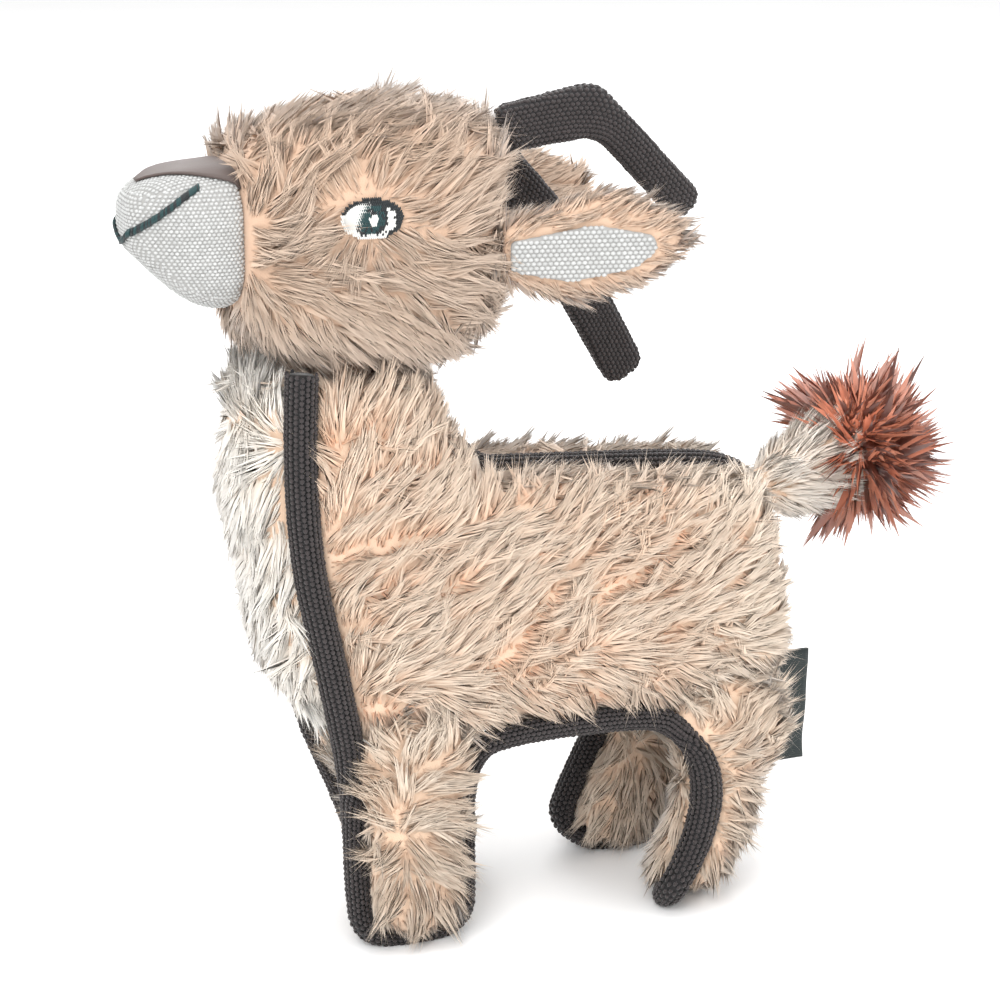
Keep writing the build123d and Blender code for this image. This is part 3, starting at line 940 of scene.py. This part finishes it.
MUZZLE_TOP = (-88.0, -117.5)  # the nose patch's back and tip, in x
MOUTH = ((-101, 17, 272.0), (-109, 18, 265.8), (-118, 11, 259), (-124, 4, 253.5), (-125, 0, 252.6))
EYE_AT = (-49.0, 262.0)
EYE_HALF = (10.0, 6.3)
MOUTH_STITCH = (1.7, 0.52, 0.9)  # half length, half width and height
EYE_STITCH = (0.85, 0.38, 0.42)


def head_pile(at, facing, rng):
    """How the head's pile lies, its length, its paleness and its lean."""
    fur = goat().fur
    p = own_mm(at)
    high = (p[:, 2] - 248) / 34
    swirl = swirls(p, 16.0)
    comb = np.stack([np.full(len(p), 0.75), np.zeros(len(p)), 0.95 * high], axis=1) + swirl * 0.85
    brow = (p[:, 0] < -74) & (p[:, 2] > 270)
    comb[brow] = np.array([-0.35, 0, 0.9]) + swirl[brow] * 0.5
    puff = wander(p, 11.0, 2.0)
    long = fur.pile * rng.uniform(0.8, 1.1, len(p)) * (1 + 0.3 * puff)
    for side in (-1, 1):
        eye = np.hypot((p[:, 0] - EYE_AT[0]) / (EYE_HALF[0] + 6), (p[:, 2] - EYE_AT[1]) / (EYE_HALF[1] + 7))
        near = (p[:, 1] * side > 20) & (eye < 1.25)
        from_eye = np.stack([p[:, 0] - EYE_AT[0], np.zeros(len(p)), p[:, 2] - EYE_AT[1]], axis=1)
        comb[near] = comb[near] * 0.3 + unit(from_eye[near]) * 1.2
        long[near] *= 0.75
    # Painted shade: the pile low on the head, where it meets the neck, is darker.
    low = np.clip((215 - p[:, 2]) / 10, 0, 1)
    pale = 0.5 + 0.24 * puff + 0.14 * wander(p, 6.0, 7.0) + rng.normal(0, 0.03, len(p)) - 0.2 * low
    lean = np.clip(0.68 - 0.15 * puff + rng.normal(0, 0.07, len(p)), 0.2, 0.9)
    return comb, long, pale, lean


def in_eye(p, grow):
    u = (p[:, 0] - EYE_AT[0]) / (EYE_HALF[0] + grow)
    v = (p[:, 2] - EYE_AT[1]) / (EYE_HALF[1] + grow)
    return (u ** 2 + v ** 2 < 1) & (np.abs(p[:, 1]) > 20)


class GOAT_OT_head(bpy.types.Operator):
    """Stuffs the head and covers it with pile, one piece for each fur panel"""

    bl_idname = "goat.head"
    bl_label = "Head"

    def execute(self, context):
        fur = goat().fur
        rng = rng_for(4)
        panels = ("head_left_panel", "head_right_panel", "head_crown_panel")
        form = stuffed_mesh([*panels, "head_filling", "left_eye", "right_eye"], 3.5 * MM, 9, 0.8 * MM)
        shared["head"] = tree_of(form)
        backing = backing_finish("head_backing", tone(208, 178, 154), tone(190, 146, 116))
        stuffed = show("stuffed_head", form, backing, "head")
        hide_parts("head_filling")
        at, facing = roots_on(form, fur.spacing, rng)
        p = own_mm(at)
        keep = ~in_eye(p, 0.0)
        keep &= ~((np.hypot(p[:, 0] - NECK_X, p[:, 1]) < 24) & (p[:, 2] < 216))
        keep &= ~((p[:, 0] < -84) & (np.hypot(p[:, 1], p[:, 2] - 254) < 24.5))
        at, facing, p = at[keep], facing[keep], p[keep]
        comb, long, pale, lean = head_pile(at, facing, rng)
        # Painted shade: the pile on top of the head is darker, to tone down the light from above.
        pale -= 0.5 * np.clip((p[:, 2] - 260) / 16, 0, 1)
        locks = lock_meshes(rng, 2, 6, 8, 0.021, 0.19, 0.45)
        finish = strand_finish("head_fur", tone(198, 164, 138), tone(210, 186, 165), fur.head)
        crown = np.abs(p[:, 1]) < 14
        jobs = (("left_cheek_fur", ~crown & (p[:, 1] < 0), "head_left_panel"),
                ("right_cheek_fur", ~crown & (p[:, 1] > 0), "head_right_panel"),
                ("crown_fur", crown, "head_crown_panel"))
        for name, group, panel in jobs:
            mesh = pile_of(group, (at, facing, comb, long, pale, lean), locks, rng)
            piece = show(name, mesh, finish, "head")
            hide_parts(panel)
        return {"FINISHED"}


def weave_on(tree, low, high, pitch, row, rng, keep_out, rib=None):
    """Yarn floats in staggered rows over a form, laid square to each of the three axes in turn."""
    at, axes = [], []
    for axis in range(3):
        u, v = [n for n in range(3) if n != axis]
        for sign in (-1, 1):
            steps_u = np.arange(low[u], high[u], pitch)
            steps_v = np.arange(low[v], high[v], row)
            for j, b in enumerate(steps_v):
                for a in steps_u + (pitch / 2 if j % 2 else 0):
                    start = Vector((0, 0, 0))
                    start[u], start[v] = a, b
                    start[axis] = (high if sign > 0 else low)[axis] + sign * 0.01
                    ray = Vector((0, 0, 0))
                    ray[axis] = -sign
                    spot, normal, _, _ = tree.ray_cast(start, ray)
                    if spot is None or keep_out(spot):
                        continue
                    if abs(normal[axis]) < max(abs(normal[u]), abs(normal[v])) - 0.02:
                        continue
                    way = Vector((0, 0, 0))
                    way[u] = 1
                    if rib is not None:
                        way = rib(spot, way)
                    way = (way - normal * way.dot(normal)).normalized()
                    at.append(spot)
                    side = normal.cross(way)
                    axes.append([way * pitch * 0.56, side * row * 0.56, normal * 0.00045])
    at = np.array(at) + rng.normal(0, 0.00005, (len(at), 3))
    return at, np.array(axes)


class GOAT_OT_muzzle(bpy.types.Operator):
    """Makes the woven muzzle, the satin nose patch and the stitched mouth"""

    bl_idname = "goat.muzzle"
    bl_label = "Muzzle"

    def execute(self, context):
        weave, trim = goat().weave, goat().trim
        rng = rng_for(5)
        form = stuffed_mesh(["muzzle_panel", "muzzle_filling"], 1.8 * MM, 8)
        tree = tree_of(form)
        low, high = (np.array(corner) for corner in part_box("muzzle_panel"))

        def under_fur(spot):
            return spot.x > place(-84, 0, 0).x

        def chin_rib(spot, way):
            return Vector((0.5, 0.2, -0.85)) if spot.z < place(0, 0, 241).z else way

        at, axes = weave_on(tree, low - 0.001, high + 0.001, 1.55 * MM, 1.2 * MM, rng, under_fur, chin_rib)
        # The form under the floats sits low on the strand map and shows the painted shade between the yarns.
        flat_chart(form, 0.3, 0.05)
        floats = beads(at, axes, rng.random(len(at)), form)
        cloth = float_finish("white_weave", weave.white_gap_shade, weave.white, 0.7)
        muzzle = show("woven_muzzle", floats, cloth, "head")
        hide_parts("muzzle_panel", "muzzle_filling")

        back_x, tip_x = MUZZLE_TOP
        work = bmesh.new()
        bmesh.ops.create_grid(work, x_segments=26, y_segments=20, size=0.5)
        for vert in work.verts:
            u, v = vert.co.x + 0.5, vert.co.y * 2
            half = (17 - 14 * u ** 1.2) * (1 - 0.5 * max(0, u - 0.85) / 0.15)
            start = place(back_x + (tip_x - back_x) * u, half * v, 300)
            spot, normal, _, _ = tree.ray_cast(start, Vector((0, 0, -1)))
            vert.co = spot + normal * 0.0006
        bmesh.ops.recalc_face_normals(work, faces=work.faces)
        if sum(face.normal.z for face in work.faces) < 0:
            bmesh.ops.reverse_faces(work, faces=work.faces)
        bmesh.ops.solidify(work, geom=work.faces, thickness=-0.0008)
        bmesh.ops.recalc_face_normals(work, faces=work.faces)
        mesh = bpy.data.meshes.new("nose")
        work.to_mesh(mesh)
        work.free()
        for face in mesh.polygons:
            face.use_smooth = True
        nose = show("satin_nose", mesh, satin_finish("nose_satin", trim.nose), "head")
        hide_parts("nose_patch")

        at, axes, pale = [], [], []
        for side in (-1, 1):
            route = smooth_route([place(x, side * y, z) for x, y, z in MOUTH], 0.00055)
            ahead = unit(np.gradient(route, axis=0))
            for point, along in zip(route, ahead):
                spot, normal, _, _ = tree.find_nearest(Vector(point))
                cross = normal.cross(Vector(along)).normalized()
                way = (Vector(along) * 0.75 + cross).normalized()
                at.append(spot + normal * 0.0006)
                axes.append(bead_axes(way, normal, MOUTH_STITCH))
                pale.append(0.12 if rng.random() < 0.45 else 0.5)
        mesh = beads(at, axes, pale)
        mouth = show("stitched_mouth", mesh, shared["thread"], "head")
        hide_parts("mouth_stitching")
        return {"FINISHED"}


def eye_shade(u, v, rng):
    """The thread at a place in the eye, in halves of its size: 0.1 black, 0.5 teal, 0.85 white."""
    reach = np.hypot(u, v)
    if np.hypot(u / 0.14, (v + 0.02) / 0.24) < 1:
        return 0.85
    iris = np.hypot((u + 0.1) / 0.54, (v - 0.12) / 0.92)
    if reach > 0.8 and (v > 0.25 or u > 0.45) or u > 0.72 and v > -0.55 or (v > 0.7 - 0.5 * abs(u)) and u > 0:
        return 0.1
    if iris < 1 and v > -0.62:
        return 0.1 if iris > 0.84 or v > 0.62 or rng.random() < 0.18 else 0.5
    return 0.85 if rng.random() > 0.06 else 0.1


class GOAT_OT_eyes(bpy.types.Operator):
    """Embroiders the eyes"""

    bl_idname = "goat.eyes"
    bl_label = "Eyes"

    def execute(self, context):
        rng = rng_for(6)
        shared["thread"] = thread_finish()
        for side_name, side in (("left", -1), ("right", 1)):
            at, axes, pale = [], [], []
            for j, v in enumerate(np.arange(-1, 1.001, 0.13)):
                for u in np.arange(-1, 1.001, 0.062) + (0.03 if j % 2 else 0):
                    if np.hypot(u, v) > 1:
                        continue
                    start = place(EYE_AT[0] + EYE_HALF[0] * u, side * 80, EYE_AT[1] + EYE_HALF[1] * v)
                    spot, normal, _, _ = shared["head"].ray_cast(start, Vector((0, -side, 0)))
                    rise = 0.0024 - 0.0010 * (u * u + v * v)
                    fan = Vector((u * 0.5 + rng.normal() * 0.1, 0, 1 + rng.normal() * 0.1))
                    way = (fan - normal * fan.dot(normal)).normalized()
                    at.append(spot + normal * rise)
                    axes.append(bead_axes(way, normal, EYE_STITCH))
                    pale.append(eye_shade(u, v, rng))
            work = bmesh.new()
            bmesh.ops.create_uvsphere(work, u_segments=32, v_segments=14, radius=1)
            beside = place(EYE_AT[0], side * 80, EYE_AT[1])
            spot, _, _, _ = shared["head"].ray_cast(beside, Vector((0, -side, 0)))
            half_x, half_z = (half * MM * 0.97 for half in EYE_HALF)
            for vert in work.verts:
                x, y, z = vert.co
                vert.co = spot + Vector((x * half_x, y * 0.0022, z * half_z))
            # The pad takes white thread dimmed low on the strand map: painted shade under the stitches.
            chart = work.loops.layers.uv.new("OFBake")
            for face in work.faces:
                for loop in face.loops:
                    loop[chart].uv = (0.85, 0.3)
            pad = bpy.data.meshes.new("pad")
            work.to_mesh(pad)
            work.free()
            mesh = beads(at, axes, pale, pad)
            eye = show(f"{side_name}_embroidered_eye", mesh, shared["thread"], "head")
            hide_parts(f"{side_name}_eye")
        return {"FINISHED"}


EAR_ROOT = (-2.0, 31.0, 246.0)
EAR_ANGLE = 12.0
LINING_PITCH, LINING_ROW = 1.9, 1.45
LINING_BEAD = (1.06, 0.81, 0.45)


class GOAT_OT_ears(bpy.types.Operator):
    """Makes the ears: a furred back and a woven lining that faces outwards"""

    bl_idname = "goat.ears"
    bl_label = "Ears"

    def execute(self, context):
        fur, weave = goat().fur, goat().weave
        rng = rng_for(7)
        locks = lock_meshes(rng, 2, 6, 8, 0.028, 0.2, 0.4)
        furred = strand_finish("ear_fur", tone(200, 156, 126), tone(222, 194, 170), fur.head)
        backing = backing_finish("ear_backing", tone(214, 186, 162), tone(196, 152, 122))
        cloth = float_finish("ear_weave", weave.white_gap_shade, weave.white, 0.7)
        for side_name, side in (("left", -1), ("right", 1)):
            along = np.array([cos(radians(EAR_ANGLE)), side * sin(radians(EAR_ANGLE)), 0])
            outward = np.array([-side * along[1], side * along[0], 0])
            root = np.array(place(EAR_ROOT[0], side * EAR_ROOT[1], EAR_ROOT[2]))
            body = f"{side_name}_ear"
            form = stuffed_mesh([f"{body}_back"], 2 * MM, 4, 0.2 * MM)
            back = show(f"{body}_form", form, backing, body)
            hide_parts(f"{body}_back")
            at, facing = roots_on(form, fur.spacing * 0.92, rng)
            lining = tree_of(frame["nodes"][f"{body}_lining"].data)
            local = at - root
            out = local @ outward
            clear = np.array([lining.find_nearest(Vector(point))[3] > 0.5 * MM for point in at])
            keep = clear & ~(shared_inside(at, "head"))
            at, facing, local, out = at[keep], facing[keep], local[keep], out[keep]
            p = own_mm(at)
            swirl = swirls(p, 12.0)
            edge = np.clip(local[:, 2:3] / (12 * MM), -1, 1)
            comb = along * 0.9 + np.array([0, 0, 0.55]) * edge + swirl * 0.5
            long = fur.pile * rng.uniform(0.6, 0.85, len(p))
            front = np.sum(facing * outward, axis=1) > 0.5
            long[front] *= 0.7
            pale = 0.55 + 0.2 * wander(p, 8.0, 4.0) + rng.normal(0, 0.03, len(p))
            lean = np.clip(0.72 + rng.normal(0, 0.07, len(p)), 0.2, 0.92)
            mesh = pile_mesh(at, facing, comb, long, pale, lean, locks, rng)
            piece = show(f"{body}_fur", mesh, furred, body)

            flat = stuffed_mesh([f"{body}_lining"], 0.8 * MM, 2, 0.1 * MM)
            tree = tree_of(flat)
            spots, axes = [], []
            for j, v in enumerate(np.arange(-14, 14, LINING_ROW)):
                for u in np.arange(0, 60, LINING_PITCH) + (LINING_PITCH / 2 if j % 2 else 0):
                    start = Vector(root + along * u * MM + np.array([0, 0, v * MM]) + outward * 0.03)
                    spot, normal, _, _ = tree.ray_cast(start, Vector(-outward))
                    if spot is None or normal.dot(Vector(outward)) < 0.5:
                        continue
                    way = (Vector(along) - normal * normal.dot(Vector(along))).normalized()
                    spots.append(spot)
                    axes.append(bead_axes(way, normal, LINING_BEAD))
            # The lining under the floats sits low on the strand map and shows the painted shade between the
            # yarns.
            flat_chart(flat, 0.3, 0.05)
            mesh = beads(spots, axes, rng.random(len(spots)), flat)
            piece = show(f"{body}_woven_lining", mesh, cloth, body)
            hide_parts(f"{body}_lining")
        return {"FINISHED"}


def shared_inside(at, name):
    """True where a point is inside one of the forms made earlier."""
    return ~outside(at, shared[name], 0.0)


# The middle line of each horn in x and z, and how far the horns stand from the middle of the head.
HORNS = {
    "left": ((1, 284.5), (22, 288), (40, 287.5), (50, 279), (61, 266), (73, 253.5)),
    "right": ((5, 272), (25, 252), (37, 236), (49, 216), (58, 200), (64, 187)),
}
HORN_Y = 16.0
HORN_PITCH, HORN_ROW = 1.85, 1.5
HORN_BEAD = (1.04, 0.84, 0.6)


class GOAT_OT_horns(bpy.types.Operator):
    """Makes the horns: bands of folded webbing with a woven face on both sides"""

    bl_idname = "goat.horns"
    bl_label = "Horns"

    def execute(self, context):
        weave = goat().weave
        rng = rng_for(8)
        webbing = float_finish("horn_webbing", weave.deep, weave.dark, 0.6)
        for side_name, middle in HORNS.items():
            side = -1 if side_name == "left" else 1
            body = f"{side_name}_horn"
            form = stuffed_mesh([f"{body}_outer_webbing", f"{body}_inner_webbing"], 1.4 * MM, 6, 0.2 * MM)
            tree = tree_of(form)
            line = smooth_route([place(x, side * HORN_Y, z) for x, z in middle], HORN_PITCH * MM)
            ahead = unit(np.gradient(line, axis=0))
            spots, axes = [], []
            for row, way in zip(line, ahead):
                across = np.array([-way[2], 0, way[0]])
                for face in (-1, 1):
                    for j in range(-9, 10):
                        shift = way * (0.93 * MM if j % 2 else 0)
                        beside = across * j * HORN_ROW * MM
                        start = Vector(row + beside + shift + np.array([0, face * 0.03, 0]))
                        spot, normal, _, _ = tree.ray_cast(start, Vector((0, -face, 0)))
                        if spot is None:
                            continue
                        run = Vector(way) - normal * normal.dot(Vector(way))
                        if run.length < 0.2:
                            continue
                        run.normalize()
                        spots.append(spot)
                        axes.append(bead_axes(run, normal, HORN_BEAD))
                for edge in (-1, 1):
                    for j in (-1, 0, 1):
                        start = Vector(row + across * edge * 0.04 + np.array([0, j * HORN_ROW * MM, 0]))
                        spot, normal, _, _ = tree.ray_cast(start, Vector(-across * edge))
                        if spot is None or abs(normal.y) > 0.8:
                            continue
                        run = (Vector(way) - normal * normal.dot(Vector(way))).normalized()
                        spots.append(spot)
                        axes.append(bead_axes(run, normal, HORN_BEAD))
            # The band under the floats sits low on the strand map and shows the painted shade between the
            # floats.
            flat_chart(form, 0.2, 0.02)
            at = np.array(spots) + rng.normal(0, 0.00005, (len(spots), 3))
            mesh = beads(at, axes, rng.random(len(at)), form)
            horn = show(f"{body}_band", mesh, webbing, body)
            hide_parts(f"{body}_outer_webbing", f"{body}_inner_webbing")
        return {"FINISHED"}


TAIL_ROOT = (105.0, 0.0, 143.0)
TAIL_RISE = 17.0


class GOAT_OT_tail(bpy.types.Operator):
    """Makes the tail: a furred sleeve and a tuft of long pile"""

    bl_idname = "goat.tail"
    bl_label = "Tail"

    def execute(self, context):
        fur = goat().fur
        rng = rng_for(9)
        along = np.array([cos(radians(TAIL_RISE)), 0, sin(radians(TAIL_RISE))])
        root = np.array(place(*TAIL_ROOT))
        form = stuffed_mesh(["tail_sleeve", "tail_filling"], 2.2 * MM, 4, 0.2 * MM)
        backing = backing_finish("tail_backing", fur.middle, fur.root)
        stuffed = show("tail_stuffed", form, backing, "tail")
        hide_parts("tail_filling")
        at, facing = roots_on(form, fur.spacing * 0.95, rng)
        far_out = (at - root) @ along / MM
        keep = (far_out > 5) & (facing @ along < 0.9)
        at, facing = at[keep], facing[keep]
        p = own_mm(at)
        swirl = swirls(p, 12.0)
        long = fur.pile * 0.86 * rng.uniform(0.8, 1.1, len(p))
        pale = 0.6 + 0.2 * wander(p, 8.0, 4.0) + rng.normal(0, 0.03, len(p))
        lean = np.clip(0.68 + rng.normal(0, 0.08, len(p)), 0.2, 0.92)
        locks = lock_meshes(rng, 2, 6, 8, 0.026, 0.18, 0.35)
        mesh = pile_mesh(at, facing, along + swirl * 0.4, long, pale, lean, locks, rng)
        sandy = strand_finish("tail_fur", fur.middle, fur.tip, fur.chest)
        sleeve = show("tail_fur", mesh, sandy, "tail")
        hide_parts("tail_sleeve")

        count = 760
        turn = rng.uniform(0, 2 * pi, count)
        tip = np.arccos(rng.uniform(-0.2, 1.0, count))
        side = np.array([0.0, 1.0, 0.0])
        rise = np.cross(along, side)
        across = np.cos(turn)[:, None] * side + np.sin(turn)[:, None] * rise
        way = np.cos(tip)[:, None] * along + np.sin(tip)[:, None] * across
        inner = np.arange(count) % 3 == 0
        start = root + along * 42 * MM + way * np.where(inner, 2, 6)[:, None] * MM
        tall = np.where(inner, rng.uniform(10, 16, count), rng.uniform(12, 22, count)) * MM
        spikes = lock_meshes(rng, 9, 3, 8, 0.018, 0.12, 0.3)
        other = unit(rng.normal(0, 1, (count, 3)))
        pale = 0.5 + 0.22 * rng.normal(0, 1, count)
        mesh = pile_mesh(start, way, other, tall, pale, np.full(count, 0.12), spikes, rng)
        rust = strand_finish("tuft_pile", fur.tuft_root, tone(184, 98, 68), fur.tuft_tip, 0.6, 0.3)
        tuft = show("tail_tuft_pile", mesh, rust, "tail")
        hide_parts("tail_tuft")
        return {"FINISHED"}


class GOAT_OT_label(bpy.types.Operator):
    """Makes the folded ribbon at the rump, and gives the squeaker inside its plastic"""

    bl_idname = "goat.label"
    bl_label = "Label"

    def execute(self, context):
        low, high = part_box("sewn_label")
        work = bmesh.new()
        bmesh.ops.create_grid(work, x_segments=40, y_segments=20, size=0.5)
        fold, layer = 0.0008, 0.0005
        turned = 0.06  # the share of the ribbon that is in its fold
        run = high[0] - low[0] - fold
        for vert in work.verts:
            u, v = vert.co.x * 2, vert.co.y + 0.5
            z = low[2] + (high[2] - low[2]) * v
            bent = 1 - min(1.0, abs(u) / turned)
            turn = pi / 2 * max(-1, min(1, u / turned))
            x = low[0] + run * (1 - max(0, abs(u) - turned) / (1 - turned)) + fold * cos(turn) * (bent > 0)
            y = fold * sin(turn)
            wave = 0.0011 * sin(5 * v + 0.6) * (x - low[0]) / run + 0.0005 * sin(11 * v)
            vert.co = Vector((x, (low[1] + high[1]) / 2 + y + wave, z))
        bmesh.ops.recalc_face_normals(work, faces=work.faces)
        bmesh.ops.solidify(work, geom=work.faces, thickness=layer)
        bmesh.ops.recalc_face_normals(work, faces=work.faces)
        mesh = bpy.data.meshes.new("label")
        work.to_mesh(mesh)
        work.free()
        for face in mesh.polygons:
            face.use_smooth = True
        ribbon = ribbon_finish("label_ribbon", goat().trim.label)
        piece = show("folded_label", mesh, ribbon, "torso")
        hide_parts("sewn_label")
        plastic = Finish("squeaker_plastic", Specular_IOR_Level=0.4)
        spots = plastic.grain(900.0)
        shade = plastic.blend(spots, tone(222, 224, 220), tone(236, 237, 234))
        normal = plastic.bump(spots, 0.2, 0.0001)
        material = plastic.out(Base_Color=shade, Roughness=0.35 + 0.2 * spots, Normal=normal)
        for node in ("squeaker_bellows", "squeaker_reed"):
            solid = frame["nodes"][node]
            solid.data.materials.clear()
            solid.data.materials.append(material)
        return {"FINISHED"}


# The camera looks at this point of the body, in mm, from these degrees round and above it and metres away.
VIEW_MIDDLE = (8.7, 0.1, 150.2)
VIEW_TURN, VIEW_RISE, VIEW_FAR = -20, 17, 1.0
LAMPS = (  # name, place, size and watts
    ("key", (-0.9, -1.3, 1.5), 1.1, 26),
    ("fill", (1.5, -1.2, 0.9), 1.6, 12),
    ("back", (0.4, 1.5, 1.4), 1.4, 16),
    ("top", (0.0, 0.0, 2.0), 1.6, 16),
)


class GOAT_OT_stage(bpy.types.Operator):
    """Sets the floor, the soft lights and the camera"""

    bl_idname = "goat.stage"
    bl_label = "Stage"

    def execute(self, context):
        scene = context.scene
        work = bmesh.new()
        bmesh.ops.create_grid(work, x_segments=2, y_segments=2, size=6)
        mesh = bpy.data.meshes.new("floor")
        work.to_mesh(mesh)
        work.free()
        floor = show("floor", mesh, floor_finish())
        middle = place(*VIEW_MIDDLE)
        for name, spot, size, power in LAMPS:
            lamp = bpy.data.lights.new(name, "AREA")
            lamp.size = size
            lamp.energy = power
            holder = bpy.data.objects.new(name, lamp)
            scene.collection.objects.link(holder)
            holder.location = spot
            holder.rotation_euler = (Vector(spot) - middle).to_track_quat("Z", "Y").to_euler()
        world = bpy.data.worlds.new("studio")
        world.use_nodes = True
        world.node_tree.nodes["Background"].inputs["Color"].default_value = (1, 1, 1, 1)
        world.node_tree.nodes["Background"].inputs["Strength"].default_value = 0.9
        scene.world = world
        turn, rise = radians(VIEW_TURN), radians(VIEW_RISE)
        back = Vector((sin(turn) * cos(rise), -cos(turn) * cos(rise), sin(rise)))
        camera = bpy.data.cameras.new("camera")
        camera.lens = 102
        camera.sensor_width = 36
        holder = bpy.data.objects.new("camera", camera)
        scene.collection.objects.link(holder)
        holder.location = middle + back * VIEW_FAR
        holder.rotation_euler = back.to_track_quat("Z", "Y").to_euler()
        scene.camera = holder
        scene.view_settings.view_transform = "Standard"
        return {"FINISHED"}


OPERATORS = (GOAT_OT_body, GOAT_OT_legs, GOAT_OT_bindings, GOAT_OT_head, GOAT_OT_eyes, GOAT_OT_muzzle,
             GOAT_OT_ears, GOAT_OT_horns, GOAT_OT_tail, GOAT_OT_label, GOAT_OT_stage)


class GOAT_PT_panel(bpy.types.Panel):
    """Lists the goat's pieces"""

    bl_label = "Plush goat"
    bl_idname = "GOAT_PT_panel"
    bl_space_type = "VIEW_3D"
    bl_region_type = "UI"
    bl_category = "Goat"

    def draw(self, context):
        for operator in OPERATORS:
            self.layout.operator(operator.bl_idname)


CLASSES = (GoatFur, GoatWeave, GoatTrim, GoatSettings, *OPERATORS, GOAT_PT_panel)


def register():
    for each in CLASSES:
        bpy.utils.register_class(each)
    bpy.types.Scene.goat = PointerProperty(type=GoatSettings)


def unregister():
    del bpy.types.Scene.goat
    for each in reversed(CLASSES):
        bpy.utils.unregister_class(each)


def main():
    register()
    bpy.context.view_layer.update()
    for operator in OPERATORS:
        group, name = operator.bl_idname.split(".")
        getattr(getattr(bpy.ops, group), name)()


if __name__ == "__main__":
    main()
